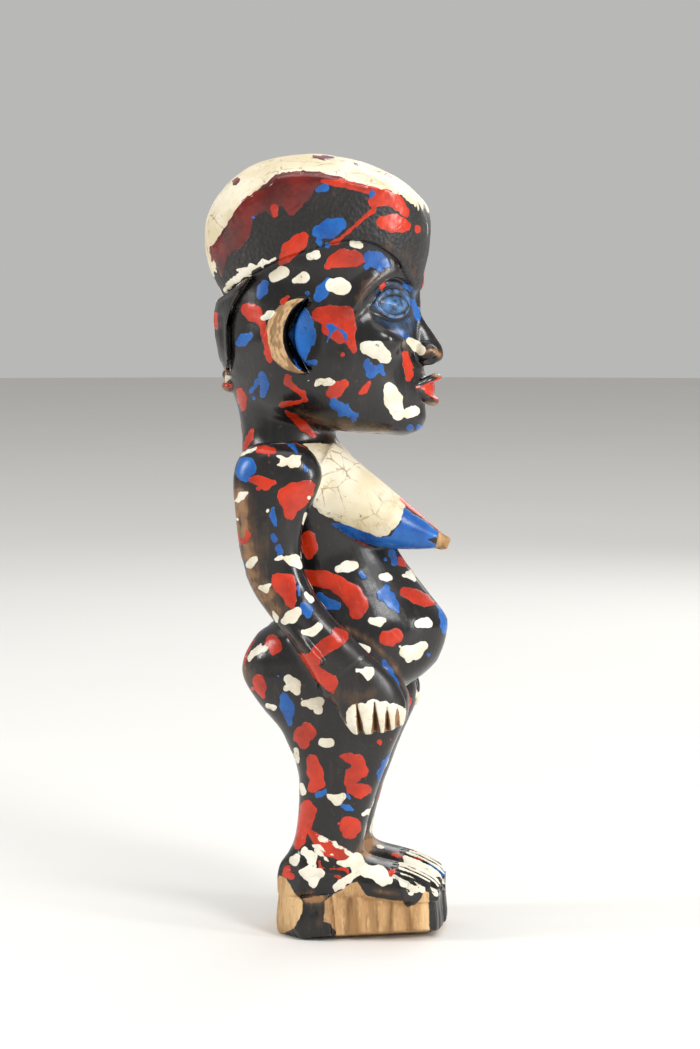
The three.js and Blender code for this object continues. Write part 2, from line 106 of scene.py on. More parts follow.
ARM = [
    [-30, -24, 190.6, 0, 6, 7, 7, 2, 2],
    [-31.4, -23.7, 188, 0, 9.2, 12.3, 12, 2.1, 2.1],
    [-32.6, -23.4, 183.5, 0, 10.4, 15.6, 15.4, 2.2, 2.2],
    [-33.5, -23.4, 178, 0, 10, 16.8, 16.6, 2.2, 2.2],
    [-34.2, -24.4, 171, 0, 9.3, 15.4, 15.2, 2.2, 2.2],
    [-34.6, -25.6, 164, 0, 8.8, 13.6, 13.4, 2.2, 2.2],
    [-34.6, -26.3, 157, 0, 8.4, 12.2, 12, 2.2, 2.2],
    [-34.2, -25.6, 148, 5, 8, 11.1, 11, 2.2, 2.2],
    [-33.8, -23.2, 139.5, 18, 7.8, 10.5, 10.5, 2.2, 2.2],
    [-33.6, -18.3, 131, 32, 7.6, 9.6, 9.6, 2.2, 2.2],
    [-33.4, -11, 121.5, 39, 7.3, 9, 9, 2.2, 2.2],
    [-33.4, -3.8, 113, 39, 7, 9.8, 9.8, 2.2, 2.2],
    [-33.4, 2, 105.4, 39, 6.5, 10.9, 10.9, 2.3, 2.3],
]
HAND = [
    [-33.4, -1, 109, 39, 6.0, 9.5, 10, 2.3, 2.3],
    [-33.4, 2.2, 105, 39, 6.2, 11, 11.6, 2.3, 2.3],
    [-33.6, 7, 99.2, 37, 5.7, 11.9, 12.3, 2.4, 2.4],
    [-33.8, 11, 93.5, 30, 5.1, 12.3, 12.4, 2.5, 2.5],
    [-33.6, 13.4, 88.5, 18, 4.3, 11.8, 11.8, 2.6, 2.6],
    [-33.3, 14.2, 84.5, 6, 3.5, 10.7, 10.7, 2.6, 2.6],
    [-33, 14.4, 81.4, 4, 2.4, 9.4, 9.4, 2.4, 2.4],
]
BREAST = [
    [-12, -12, 171.3, 69.4, 14.6, 19.6, 14.6, 2, 2],
    [-12.4, -4, 168.3, 69.4, 14.4, 17.4, 13.2, 2, 2],
    [-12.8, 4, 165.3, 69.4, 13.7, 14.6, 12.6, 2, 2],
    [-13.2, 12, 162.3, 69.4, 12.4, 11.7, 12, 2, 2],
    [-13.6, 20, 159.3, 69.4, 10.4, 8.8, 10, 2, 2],
    [-14, 28, 156.3, 69.4, 7.5, 5.9, 7.1, 2, 2],
    [-14.3, 33.6, 154.2, 69.4, 4.9, 3.8, 4.5, 2, 2],
    [-14.5, 36.6, 153.1, 69.4, 3.1, 2.6, 3.0, 2, 2],
    [-14.6, 39.9, 151.9, 69.4, 2.6, 2.2, 2.5, 2.2, 2.2],
]
NECK = [
    [0, -22, 182, 0, 19, 20, 20, 2.1, 2.1],
    [0, -22.2, 187.5, 0, 17.6, 18.8, 19.6, 2.1, 2.1],
    [0, -23.5, 192, 0, 16.2, 17.8, 18.2, 2.1, 2.1],
    [0, -24.6, 198, 0, 15.7, 17.8, 17.9, 2.1, 2.1],
    [0, -25, 205, 0, 16.4, 18.6, 18.7, 2.1, 2.1],
    [0, -25, 214, 0, 18, 20, 20, 2.1, 2.1],
]
HEAD = [
    [0, 16, 192.8, 0, 6, 6.5, 9, 2, 2],
    [0, 12, 194.4, 0, 13, 14.6, 20, 2, 2],
    [0, 5, 197.4, 0, 19, 22.8, 30, 2, 2],
    [0, -2, 202, 0, 23.6, 30.4, 35.6, 2, 2],
    [0, -6, 207, 0, 26.6, 34.4, 38, 2, 2],
    [0, -8.5, 213, 0, 29.2, 36.4, 37.5, 2, 2],
    [0, -10, 220, 0, 31.2, 37.4, 36.8, 2, 2],
    [0, -11, 228, 0, 32.2, 37.4, 36, 2, 2.1],
    [0, -11, 236, 0, 32.4, 36.9, 36.3, 2, 2.1],
    [0, -11, 244, 0, 31.9, 37.0, 37.5, 2, 2.1],
    [0, -11, 252, 0, 32.0, 37.8, 38, 2.05, 2.1],
    [0, -11, 260, 0, 33.0, 39.2, 38, 2.15, 2.1],
    [0, -11, 268, 0, 33.4, 39.6, 37, 2.2, 2.1],
    [0, -11, 277, 0, 28, 33, 30, 2.1, 2.1],
]
# The coiffure's sides, flaring outwards as they rise; its crown is cut from them afterwards.
COIFFURE = [
    [0, -11.4, 240, 0, 30.2, 36.2, 36.8, 2.2, 2.2],
    [0, -11.4, 243, 0, 30.6, 36.4, 37, 2.2, 2.2],
    [0, -11.7, 247, 0, 31.6, 37.6, 37.8, 2.2, 2.2],
    [0, -12, 251, 0, 32.8, 39.4, 39.4, 2.3, 2.3],
    [0, -12.4, 256, 0, 34, 40.9, 41.2, 2.4, 2.4],
    [0, -12.4, 262, 0, 35.1, 42.3, 42.6, 2.5, 2.5],
    [0, -12.4, 268, 0, 36, 42.9, 43, 2.6, 2.6],
    [0, -12.3, 275, 0, 36.8, 43, 43.2, 2.7, 2.7],
    [0, -12.2, 282, 0, 37.4, 43, 43.4, 2.7, 2.7],
    [0, -12.2, 290, 0, 37.8, 43, 43.6, 2.7, 2.7],
    [0, -12.2, 302, 0, 38.2, 43, 43.8, 2.7, 2.7],
]
# The crown in side view at the middle of the figure, and its rim at the sides.
CROWN = [
    (-49, 240), (-50.4, 248), (-52.5, 253.6), (-54.4, 260.1), (-55.2, 267), (-53.9, 276.6), (-48.4, 286.1), (-38.7, 294.5),
    (-27, 298.3), (-13.5, 299.6), (-3.9, 298.4), (7.7, 295.4), (19.2, 289.7), (26.9, 282.1), (30, 274.5), (30.7, 266.9),
    (30.4, 259.3), (30, 240),
]
RIM = [
    (-66, 250), (-52, 252.2), (-47.4, 257.4), (-43.8, 268.4), (-37, 279), (-27.5, 285.6), (-21.9, 290), (-10.6, 290.9),
    (0.6, 288.9), (15.5, 284.9), (26.6, 280.6), (30.4, 277.2), (42, 274),
]
HAIRLINE = [
    (-60, 242), (-50, 244.6), (-42, 248.4), (-34, 253.2), (-24, 258.6), (-14.6, 261.8), (-3, 265.2), (6, 266.6), (12, 265.4),
    (17.5, 262.2), (21.6, 258.0), (24.4, 253.0), (26.8, 248.6), (30, 245.0), (36, 242),
]
BLOCK = [
    (-25.6, -19.4), (-27.2, -6), (-26.6, 10), (-23, 25.5), (-15.5, 34.6), (-4, 37.2), (6, 37), (16.5, 34.4),
    (24, 26), (27.4, 10), (28, -8), (25.4, -19), (16, -25.6), (2, -27.4), (-11, -26.6), (-20.5, -24),
]
BLOCK_TOP = 15.6

LABELS = {"head": 1, "neck": 2, "coiffure": 3, "torso": 4, "arm": 5, "hand": 6, "breast": 7, "leg": 8, "foot": 9, "ear": 10, "nape_braid": 11, "base_block": 12}
PAIRED = {5, 6, 7, 8, 9, 10}
LEFT = 32

# ---------------------------------------------------------------------------------------------------------
# The shaping grid: signed distance in mm, negative inside. Only the right half is shaped, then it is mirrored.
# ---------------------------------------------------------------------------------------------------------
LO = np.round(np.array([-47.0, -60.0, -3.0]) / H).astype(int)
HI = np.round(np.array([2.0, 46.0, 303.0]) / H).astype(int)
SHAPE = tuple(HI - LO + 1)
FAR = 8.0
D = np.full(SHAPE, FAR, np.float32)
L = np.zeros(SHAPE, np.uint8)


def window(lo, hi, low=LO):
    """Slices of the grid round a box in mm, and the coordinates of its points."""
    shape = D.shape
    a = np.maximum(np.floor(np.asarray(lo) / H).astype(int) - low, 0)
    b = np.minimum(np.ceil(np.asarray(hi) / H).astype(int) - low + 1, shape)
    sl = tuple(slice(int(i), int(j)) for i, j in zip(a, b))
    axes = [((np.arange(i, j) + low[n]) * H).astype(np.float32) for n, (i, j) in enumerate(zip(a, b))]
    return sl, axes[0][:, None, None], axes[1][None, :, None], axes[2][None, None, :]


def catmull(rows, n):
    rows = np.asarray(rows, float)
    t = np.linspace(0, len(rows) - 1, n)
    k = np.minimum(t.astype(int), len(rows) - 2)
    u = (t - k)[:, None]
    at = lambda j: rows[np.clip(j, 0, len(rows) - 1)]
    p0, p1, p2, p3 = at(k - 1), at(k), at(k + 1), at(k + 2)
    return 0.5 * (2 * p1 + (p2 - p0) * u + (2 * p0 - 5 * p1 + 4 * p2 - p3) * u**2 + (3 * p1 - p0 - 3 * p2 + p3) * u**3)


def loft(rows, n=None, m=72, bend=0.0, extra=None):
    """Points and faces of a closed loft through the sections."""
    s = catmull(rows, n or len(rows) * 6)
    t = np.linspace(0, 2 * np.pi, m, endpoint=False)[None, :]
    c, sn = np.cos(t), np.sin(t)
    ahead = sn >= 0
    e = 2 / np.where(ahead, s[:, 7:8], s[:, 8:9])
    w = s[:, 4:5] * np.sign(c) * np.abs(c) ** e
    d = np.where(ahead, s[:, 5:6], s[:, 6:7]) * np.sign(sn) * np.abs(sn) ** e
    tilt = np.radians(s[:, 3:4])
    p = np.stack([s[:, 0:1] + w, s[:, 1:2] + d * np.cos(tilt), s[:, 2:3] + d * np.sin(tilt)], -1)
    if bend:
        p[..., 0] += bend * np.maximum(p[..., 1], 0) ** 2
    if extra:
        p = extra(p, s)
    r = len(s)
    v = np.concatenate([p.reshape(-1, 3), s[:1, :3], s[-1:, :3]])
    i, j = np.meshgrid(np.arange(r - 1), np.arange(m), indexing="ij")
    k = (j + 1) % m
    quads = np.stack([i * m + j, i * m + k, (i + 1) * m + k, (i + 1) * m + j], -1).reshape(-1, 4)
    j = np.arange(m)
    k = (j + 1) % m
    tris = np.concatenate([np.stack([np.full(m, r * m), k, j], -1), np.stack([np.full(m, r * m + 1), (r - 1) * m + j, (r - 1) * m + k], -1)])
    return v, tris, quads


def field_of(mesh, band=7.0):
    v, tris, quads = mesh
    g = vdb.FloatGrid.createLevelSetFromPolygons(
        v.astype(np.float32), triangles=tris.astype(np.uint32), quads=quads.astype(np.uint32),
        transform=vdb.createLinearTransform(H), halfWidth=band / H)
    pad = band
    sl, x, f, z = window(v.min(0) - pad, v.max(0) + pad)
    out = np.zeros(tuple(s.stop - s.start for s in sl), np.float32)
    g.copyToArray(out, ijk=tuple(int(s.start + l) for s, l in zip(sl, LO)))
    out[out >= band * 0.999] = FAR
    return sl, x, f, z, out


def blend_in(sl, a, label, k):
    d = D[sl]
    if label:
        L[sl][a < d] = LABELS[label] if isinstance(label, str) else label
    low = np.minimum(d, a)
    h = np.maximum(k - np.abs(d - a), 0) * (low < k)
    D[sl] = low - h * h / (4 * k)


def cut_out(sl, a, k=0.3):
    d = D[sl]
    a = -a
    high = np.maximum(d, a)
    h = np.maximum(k - np.abs(d - a), 0) * (np.abs(high) < k)
    D[sl] = high + h * h / (4 * k)


def smax(a, b, k):
    h = np.maximum(k - np.abs(a - b), 0)
    return np.maximum(a, b) + h * h / (4 * k)


def smin(a, b, k):
    h = np.maximum(k - np.abs(a - b), 0)
    return np.minimum(a, b) - h * h / (4 * k)


def ellipsoid(x, f, z, c, r, basis=None):
    px, pf, pz = x - c[0], f - c[1], z - c[2]
    if basis is not None:
        b = np.asarray(basis, np.float32)
        q = [px * v[0] + pf * v[1] + pz * v[2] for v in b]
    else:
        q = [px + 0 * pf + 0 * pz, pf + 0 * px + 0 * pz, pz + 0 * px + 0 * pf]
    k0 = np.sqrt(sum((a / s) ** 2 for a, s in zip(q, r)))
    k1 = np.sqrt(sum((a / (s * s)) ** 2 for a, s in zip(q, r))) + 1e-6
    return (k0 * (k0 - 1) / k1).astype(np.float32)


def tube_field(path, scale=(1, 1, 1), margin=4.0, n=None, straight=False, k=0.0):
    """Signed distance to a chain of balls. path rows are x, f, z, radius."""
    path = np.asarray(path, float)
    if not straight:
        path = catmull(path, n or (len(path) - 1) * 5 + 1)
    r = path[:, 3].max() + margin
    sl, x, f, z = window(path[:, :3].min(0) - r, path[:, :3].max(0) + r)
    out = np.full(tuple(s.stop - s.start for s in sl), FAR, np.float32)
    sc = np.asarray(scale, float)
    for a, b in zip(path[:-1], path[1:]):
        pa, pb = a[:3] * sc, b[:3] * sc
        v = pb - pa
        vv = float(v @ v) + 1e-9
        dx, df, dz = x * sc[0] - pa[0], f * sc[1] - pa[1], z * sc[2] - pa[2]
        t = np.clip((dx * v[0] + df * v[1] + dz * v[2]) / vv, 0, 1)
        d = np.sqrt((dx - t * v[0]) ** 2 + (df - t * v[1]) ** 2 + (dz - t * v[2]) ** 2) - (a[3] + t * (b[3] - a[3]))
        out = np.minimum(out, d.astype(np.float32)) if not k else smin(out, d.astype(np.float32), k)
    return sl, x, f, z, out / float(min(sc))


def plane_line(points, u, v):
    """Signed distance in a plane to an open line of points: positive to the left of its direction."""
    pts = np.asarray(points, float)
    best = np.full(np.broadcast(u, v).shape, 1e9, np.float32)
    sign = np.ones_like(best)
    for a, b in zip(pts[:-1], pts[1:]):
        w = b - a
        du, dv = u - a[0], v - a[1]
        t = np.clip((du * w[0] + dv * w[1]) / (w @ w), 0, 1)
        d2 = (du - t * w[0]) ** 2 + (dv - t * w[1]) ** 2
        cross = w[0] * dv - w[1] * du
        near = d2 < best - 1e-6
        best = np.where(near, d2, best)
        sign = np.where(near, np.where(cross >= 0, 1.0, -1.0), sign)
    return (np.sqrt(best) * sign).astype(np.float32)


def polygon(points, u, v):
    """Signed distance to a closed outline in a plane, negative inside."""
    pts = np.asarray(points, float)
    best = np.full(np.broadcast(u, v).shape, 1e9, np.float32)
    inside = np.zeros(best.shape, bool)
    for a, b in zip(pts, np.roll(pts, -1, 0)):
        w = b - a
        du, dv = u - a[0], v - a[1]
        t = np.clip((du * w[0] + dv * w[1]) / (w @ w + 1e-12), 0, 1)
        best = np.minimum(best, (du - t * w[0]) ** 2 + (dv - t * w[1]) ** 2)
        if a[1] != b[1]:
            hit = ((a[1] > v) != (b[1] > v)) & (u < (b[0] - a[0]) * (v - a[1]) / (b[1] - a[1]) + a[0])
            inside ^= hit
    return np.where(inside, -np.sqrt(best), np.sqrt(best)).astype(np.float32)


# ---- head, neck and coiffure ----
blend = blend_in
sl, x, f, z, a = field_of(loft(HEAD))
blend(sl, a, "head", 0.5)
sl, x, f, z, a = field_of(loft(NECK))
blend(sl, a, "neck", 3.0)

sl, x, f, z, a = field_of(loft(COIFFURE))
side_f, side_z = f[0], z[0]
crown = polygon(list(map(tuple, catmull(CROWN, 110))) + [(30, 200), (-49, 200)], side_f, side_z)[None]
rim = plane_line(catmull(RIM, 70), side_f, side_z)[None]  # positive above the rim
share = np.clip(np.abs(x) / 36.0, 0, 1.15) ** 2.3
band = np.clip(rim - np.clip(crown, -30, 30), 0, 12)  # how far the rim lies inside the crown's outline
top = crown * (1 - share) + rim * share
slope = np.sqrt(1 + (2.3 * band * np.clip(np.abs(x) / 36.0, 0, 1) ** 1.3 / 36.0) ** 2)
a = smax(a, top / slope, 0.9)
hair = plane_line(catmull(HAIRLINE, 70), side_f, side_z)[None]
# the side faces are hollowed a little between the hairline and the rim
a = a + 0.8 * np.exp(-((hair - 13) / 8) ** 2) * np.clip((np.abs(x) - 20) / 10, 0, 1) * (hair > 0)
a = smax(a, -hair, 1.4)
blend(sl, a.astype(np.float32), "coiffure", 0.7)
note("head, neck, coiffure")

# ---- body ----
sl, x, f, z, a = field_of(loft(TORSO, 120))
blend(sl, a, "torso", 1.4)
sl, x, f, z, a = field_of(loft(ARM, bend=0.0115))
blend(sl, a, "arm", np.where(z > 165, 3.4, 0.9).astype(np.float32))
sl, x, f, z, a = field_of(loft(LEG, 110))
blend(sl, a, "leg", np.where(f < -8, 4.5, 1.6).astype(np.float32))
# the ulna's ridge runs out in a point over the wrist
sl, x, f, z, a = tube_field([(-38.0, -20.5, 127, 1.4), (-39.7, -15, 119.5, 2.2), (-40.7, -9.8, 113, 2.1), (-40.9, -6.2, 109.6, 1.3)])
blend(sl, a, "arm", 1.9)

# ---- hand: a flat mitten split into five pointed fingers ----
GAPS = [  # outlines of the notches, in the side elevation
    [(2.35, 87.4), (2.8, 87.4), (6.1, 74.0), (3.1, 74.0)],
    [(9.3, 88.4), (9.7, 88.4), (12.3, 74.0), (8.4, 74.0)],
    [(14.2, 86.6), (14.6, 86.6), (16.2, 75.5), (13.5, 75.5)],
    [(18.2, 86.4), (18.6, 86.4), (19.5, 78.0), (17.8, 78.0)],
]
FINGERS = [(-12, 100), (-12, 93), (-7.6, 90.6), (-5.0, 86.4), (-3.0, 81.4), (0.0, 76.8), (2.9, 75.0), (4.4, 76.8), (6.4, 74.8), (8.6, 74.8), (10.2, 76.4), (12.0, 75.4), (13.8, 75.6), (15.6, 77.0),
           (17.6, 78.2), (19.0, 79.2), (20.6, 79.6), (21.4, 82.0), (21.8, 85.0), (22.4, 90.0), (22, 100)]
sl, x, f, z, a = field_of(loft(HAND, bend=0.0115))
k = 1091.8 / (1091.8 + x)
u = 134.06 + (f - 134.06) * k + 0 * z
v = 253.77 + (z - 253.77) * k + 0 * f
k = None
below = v < 90
cut = np.where(below, polygon(FINGERS, u, v), -3.0)
a = smax(a, cut, 0.7)
skin = -33.5 + 0.0115 * np.maximum(f, 0) ** 2 - 4.6 + np.clip(92 - z, 0, 12) * 0.20  # where the outer face lies
for gap in GAPS:
    notch = polygon(gap, u, v) + 0.26 * np.clip(x - skin, 0, 9)
    a = smax(a, -notch, 0.35)
blend(sl, a.astype(np.float32), "hand", 0.6)
note("body and hands")

# ---- feet: toes split by grooves fanning forwards ----
sl, x, f, z, a = field_of(loft(FOOT, 90))
blend(sl, a, "foot", 2.2)
for x0, x1, low in [(-23.6, -25.0, 3.6), (-20.4, -21.2, 0.9), (-16.4, -16.6, 0), (-12.6, -11.8, 0), (-8.8, -7.0, 0.4)]:
    sl, x, f, z, a = tube_field([(x0, 17.5, 30.2 - low, 0.1), (x0 * 0.7 + x1 * 0.3, 22, 27.8 - low, 1.25), (x1 * 0.7 + x0 * 0.3, 29, 24.8 - low, 1.7), (x1, 38.5, 19 - low * 0.5, 1.8)],
                                scale=(1, 0.55, 0.42))
    cut_out(sl, a, 0.5)

# ---- face ----
NOSE = [
    [0, 24.0, 250, 0, 2.4, 2.4, 3, 2, 2],
    [0, 24.0, 244, 0, 2.7, 2.7, 3, 2, 2],
    [0, 24.3, 240, 0, 3.0, 2.6, 3, 2, 2],
    [0, 25.0, 236, 0, 3.4, 4.1, 4, 1.9, 2],
    [0, 25.9, 231, 0, 4.3, 6.7, 4, 1.8, 2],
    [0, 26.5, 227, 0, 5.3, 8.6, 4, 1.8, 2],
    [0, 26.7, 223.8, 0, 6.0, 9.3, 4, 1.8, 2],
    [0, 26.6, 221.2, 0, 5.6, 8.7, 4, 1.8, 2],
    [0, 26.4, 219.2, 0, 4.2, 5.6, 4, 1.8, 2],
]
# muzzle and cheek first, so that the nose and lips stand on them
sl, x, f, z = window((-36, -4, 190), (2, 42, 242))
blend(sl, ellipsoid(x, f, z, (-21.0, 13.0, 229.5), (8.4, 9.2, 6.5)), "head", 7.0)
blend(sl, ellipsoid(x, f, z, (0, 19.6, 211), (13.6, 9.4, 10.5)), "head", 4.0)
blend(sl, ellipsoid(x, f, z, (0, 19.8, 199.4), (9.5, 9.0, 6.2)), "head", 3.5)
sl, x, f, z, a = field_of(loft(NOSE))
blend(sl, a, "head", 2.2)
# wings and nostrils
sl, x, f, z = window((-12, 20, 214), (2, 40, 234))
blend(sl, ellipsoid(x, f, z, (-5.5, 29.8, 224.2), (3.3, 4.8, 3.5)), "head", 1.6)
cut_out(sl, ellipsoid(x, f, z, (-5.2, 32.4, 220.6), (2.5, 3.5, 2.5), [(1, 0, 0), (0, 0.94, 0.34), (0, -0.34, 0.94)]), 0.6)
# hollow under the brow, then the brow, the eyeball and its lids
sl, x, f, z = window((-36, 4, 222), (2, 40, 264))
eye = np.array([-18.6, 18.9, 242.4])
en = np.array([-0.62, 0.785, 0.0])
et = np.array([0.785, 0.62, 0.0])
basis = [et, (0, 0, 1), en]
cut_out(sl, ellipsoid(x, f, z, eye + en * 7.0 + np.array([0, 0, 0.6]), (13.4, 10.4, 8.5), basis), 4.0)
brow = [(-30.2, 4.4, 241.5, 1.1), (-27.4, 9.6, 249.2, 1.5), (-21.6, 16.2, 254.2, 1.9), (-13.6, 21.9, 253.8, 1.9), (-6.4, 24.4, 250, 1.6)]
sl, x, f, z, a = tube_field(brow)
blend(sl, a, "head", 5.0)
crease = [(-25.4, 13.6, 248.0, 0.3), (-23.6, 15.6, 250.6, 0.6), (-20.2, 18.6, 252.2, 0.8), (-15, 22.0, 250.9, 0.9), (-10.4, 24.3, 247.2, 0.7), (-8.4, 25.2, 244.4, 0.4)]
sl, x, f, z, a = tube_field(crease)
cut_out(sl, a, 1.2)
sl, x, f, z = window((-36, 4, 222), (2, 40, 264))
blend(sl, ellipsoid(x, f, z, eye - en * 3.2, (10.6, 6.3, 5.0), basis), "head", 1.0)


def on_eye(s, wide, high, lift, drop=0.0):
    """A point of the almond-shaped line round the eye, on the swelling that carries the lids."""
    across = wide * s
    up = lift * high * (1 - abs(s) ** 2.2) ** 0.85 - drop * s
    out = -3.2 + 5.0 * math.sqrt(max(0.02, 1 - (across / 10.6) ** 2 - (up / 6.3) ** 2))
    return eye + et * across + en * out + np.array([0, 0, up])


# the upper lid is a broad band under a fold, the lower one a narrow rim
lid = [(*(on_eye(s, 9.1, 4.9, 1, 0.35) - en * 0.25), 1.05 - 0.45 * s * s) for s in np.linspace(-1, 1, 13)]
sl, x, f, z, a = tube_field(lid, n=37)
blend(sl, a, "head", 0.5)
lid = [(*(on_eye(s, 9.1, 4.4, -1, 0.35) - en * 0.2), 0.85 - 0.35 * s * s) for s in np.linspace(-1, 1, 13)]
sl, x, f, z, a = tube_field(lid, n=37)
blend(sl, a, "head", 0.5)
for wide, high, lift, deep in ((8.0, 3.7, 1, 0.5), (8.0, 3.4, -1, 0.5), (10.2, 6.9, 1, 0.5)):
    edge = [(*on_eye(s, wide, min(high, 6.2), lift, 0.35), deep - 0.2 * abs(s)) for s in np.linspace(-1, 1, 13)]
    sl, x, f, z, a = tube_field(edge, n=37)
    cut_out(sl, a, 0.3)
sl, x, f, z = window((-36, 4, 222), (2, 40, 264))
blend(sl, ellipsoid(x, f, z, eye - en * 2.5, (7.1, 3.35, 5.3), basis), "head", 0.4)
# lips: a wedge-shaped mouth, its lips parted in a notch at the front
sl, x, f, z = window((-14, 14, 196), (2, 42, 224))
blend(sl, ellipsoid(x, f, z, (0, 25.6, 210.2), (10.0, 7.4, 5.2)), "head", 1.2)
upper = [(-9.7, 26.4, 211.4, 0.8), (-7.4, 29.6, 213.3, 1.25), (-4.2, 32.5, 214.4, 1.5), (0, 33.7, 214.6, 1.55), (4.2, 32.5, 214.4, 1.5)]
sl, x, f, z, a = tube_field(upper, scale=(1, 0.85, 1))
blend(sl, a, "head", 0.8)
lower = [(-9.5, 26.4, 210.8, 0.8), (-7.0, 28.8, 207.9, 1.4), (-4.0, 31.1, 205.9, 1.75), (0, 32.1, 205.3, 1.85), (4.0, 31.1, 205.9, 1.75)]
sl, x, f, z, a = tube_field(lower, scale=(1, 0.85, 1))
blend(sl, a, "head", 0.8)
sl, x, f, z = window((-14, 18, 200), (2, 42, 222))
cut_out(sl, ellipsoid(x, f, z, (0, 36.9, 210.0), (11.5, 4.5, 3.9)), 0.4)

# ---- ear: a flat-faced crescent with a deep slot in front of it ----
sl, x, f, z = window((-44, -34, 210), (-18, 6, 252))
outer = np.sqrt((f + 13.4) ** 2 + ((z - 231) / 1.02) ** 2) - 13.8
inner = np.sqrt((f + 4.9) ** 2 + (z - 231) ** 2) - 15.5
crescent = smax(outer, -inner, 0.3)
face = -(x + 37.6) + 0.06 * (f + 20)  # flat outward face, turned a little backwards
a = smax(smax(crescent + 0 * x, face + 0 * crescent, 0.8), x + 24 + 0 * crescent, 0.3)
blend(sl, a.astype(np.float32), "ear", 0.5)
slot = smax(inner, -(np.sqrt((f + 2.4) ** 2 + (z - 231) ** 2) - 14.9), 0.3)
slot = smax(slot, np.abs(z - 231) - 12.6, 0.8)
a = smax(slot + 0 * x, -(x + 28.2) * -1.0 + 0 * slot, 0.5)
cut_out(sl, a.astype(np.float32), 0.4)
# the front wall of the slot slopes back up to the cheek
cut_out(sl, ellipsoid(x, f, z, (-35.6, -13.0, 230.6), (4.9, 6.6, 11.2)), 1.6)
crescent_again = smax(smax(crescent + 0 * x, face + 0 * crescent, 0.8), x + 26 + 0 * crescent, 0.3)
blend(sl, crescent_again.astype(np.float32), "ear", 0.35)

# ---- braid down the back of the head: two raised leaves with a groove between them, and its knob ----
LEAF = [(-38.6, 253.5), (-40.8, 250.0), (-44.6, 244.0), (-47.0, 237.9), (-47.9, 232.9), (-47.8, 226.4), (-47.5, 221.0), (-48.2, 216.4), (-49.8, 211)]
sl, x, f, z = window((-32, -58, 206), (2, -30, 256))
k = 1091.8 / (1091.8 + x)
u = 134.06 + (f - 134.06) * k + 0 * z
v = 253.77 + (z - 253.77) * k + 0 * f
edge = plane_line(catmull(LEAF, 60), u, v) * -1.0  # positive behind the leaf's edge
wide = np.interp(z, [212, 216, 220, 226, 233, 238, 244, 250], [6, 8.5, 11, 12.5, 12.8, 14.5, 19, 22]).astype(np.float32)
crest = np.interp(z, [210, 213, 217, 222, 230, 236, 239.5, 242.5, 245.5, 249, 252], [0.4, 1.2, 2.2, 4.0, 5.3, 5.6, 4.8, 3.5, 2.2, 1.5, 1.2]).astype(np.float32)
rib = np.interp(z, [211, 216, 224, 236, 246, 253], [0.5, 1.3, 2.2, 2.4, 2.0, 1.4]).astype(np.float32)
rise = rib + (crest - rib) * np.clip(1 - (x / wide) ** 2, 0, 1)
strand = 1.5 * np.exp(-((np.abs(x) - 4.2 - 0.06 * (z - 232)) / 0.85) ** 2) * np.clip((z - 214) / 5, 0, 1)
under = plane_line(catmull(HAIRLINE, 70), f[0], z[0])[None]
head_d = D[sl].copy()
leaf = smax(smax(head_d - rise + strand + 0 * x, -edge, 0.8), under + 0.2, 0.6)
leaf = smax(leaf, 212.5 - z + 0 * head_d, 0.8)
D[sl] += (0.5 * np.exp(-((edge + 0.8) / 0.8) ** 2) * np.clip((z - 215) / 5, 0, 1) * (under < 0)).astype(np.float32)
blend(sl, leaf.astype(np.float32), "nape_braid", 0.25)
sl, x, f, z = window((-9, -56, 202), (2, -36, 222))
blend(sl, ellipsoid(x, f, z, (0, -46.0, 210.8), (4.8, 3.9, 2.6)), "nape_braid", 0.4)
blend(sl, ellipsoid(x, f, z, (0, -46.0, 215.2), (3.9, 3.7, 2.9)), "nape_braid", 0.5)
note("face, ear, braid")

# ---- mirror, then the block and every cut that differs from side to side ----
mid = -LO[0]  # plane x = 0
full = np.concatenate([D[: mid + 1], D[:mid][::-1]])
labels = L[: mid + 1]
other = L[:mid][::-1].copy()
for p in PAIRED:
    other[other == p] = p + LEFT
labels = np.concatenate([labels, other])
D, L = full, labels
SHAPE = D.shape
del full

# breasts: the left one hangs a little lower and shorter than the right
LEFT_BREAST = []
for row in BREAST:
    t = (row[1] + 12) / 52
    LEFT_BREAST.append([-row[0], row[1] - 0.8 - 3.0 * t, row[2] - 1.0 - 2.2 * t, row[3], row[4], row[5] - 2.2 * (1 - t), *row[6:]])
for rows, code in ((BREAST, 7), (LEFT_BREAST, 7 + LEFT)):
    sl, x, f, z, a = field_of(loft(rows))
    tip = rows[-1]
    # the tip is cut off square, like a whittled peg
    a = smax(a, (f - tip[1] + 1.3) * 0.94 + (z - tip[2] - 0.1) * -0.34 - 1.0 + 0 * x, 0.5)
    blend(sl, a.astype(np.float32), code, 1.6)

sl, x, f, z = window((-34, -34, -3), (34, 44, 40))
lower_d, lower_l = D[sl], L[sl]
# foot below the ankle
ankle = (z < 33) & ((lower_l == 8) | (lower_l == 8 + LEFT))
lower_l[ankle] += 1
plan = polygon([(px, pf) for px, pf in BLOCK], x[:, :, 0], f[:, :, 0])[:, :, None]
top_z = BLOCK_TOP + 2.6 * np.exp(-((f + 3) / 9) ** 2) * (x < 0) + 0 * z
wall = plan - 0.35 * np.sin(z * 0.33) - 0.5
block = smax(smax(wall + 0 * z, z - top_z, 0.8), -z + 0 * plan, 0.25)
rng = np.random.default_rng(SEED)


def facet(field, p, n, k=0.4):
    n = np.asarray(n, float)
    n = n / np.linalg.norm(n)
    return smax(field, ((x - p[0]) * n[0] + (f - p[1]) * n[1] + (z - p[2]) * n[2]).astype(np.float32), k)


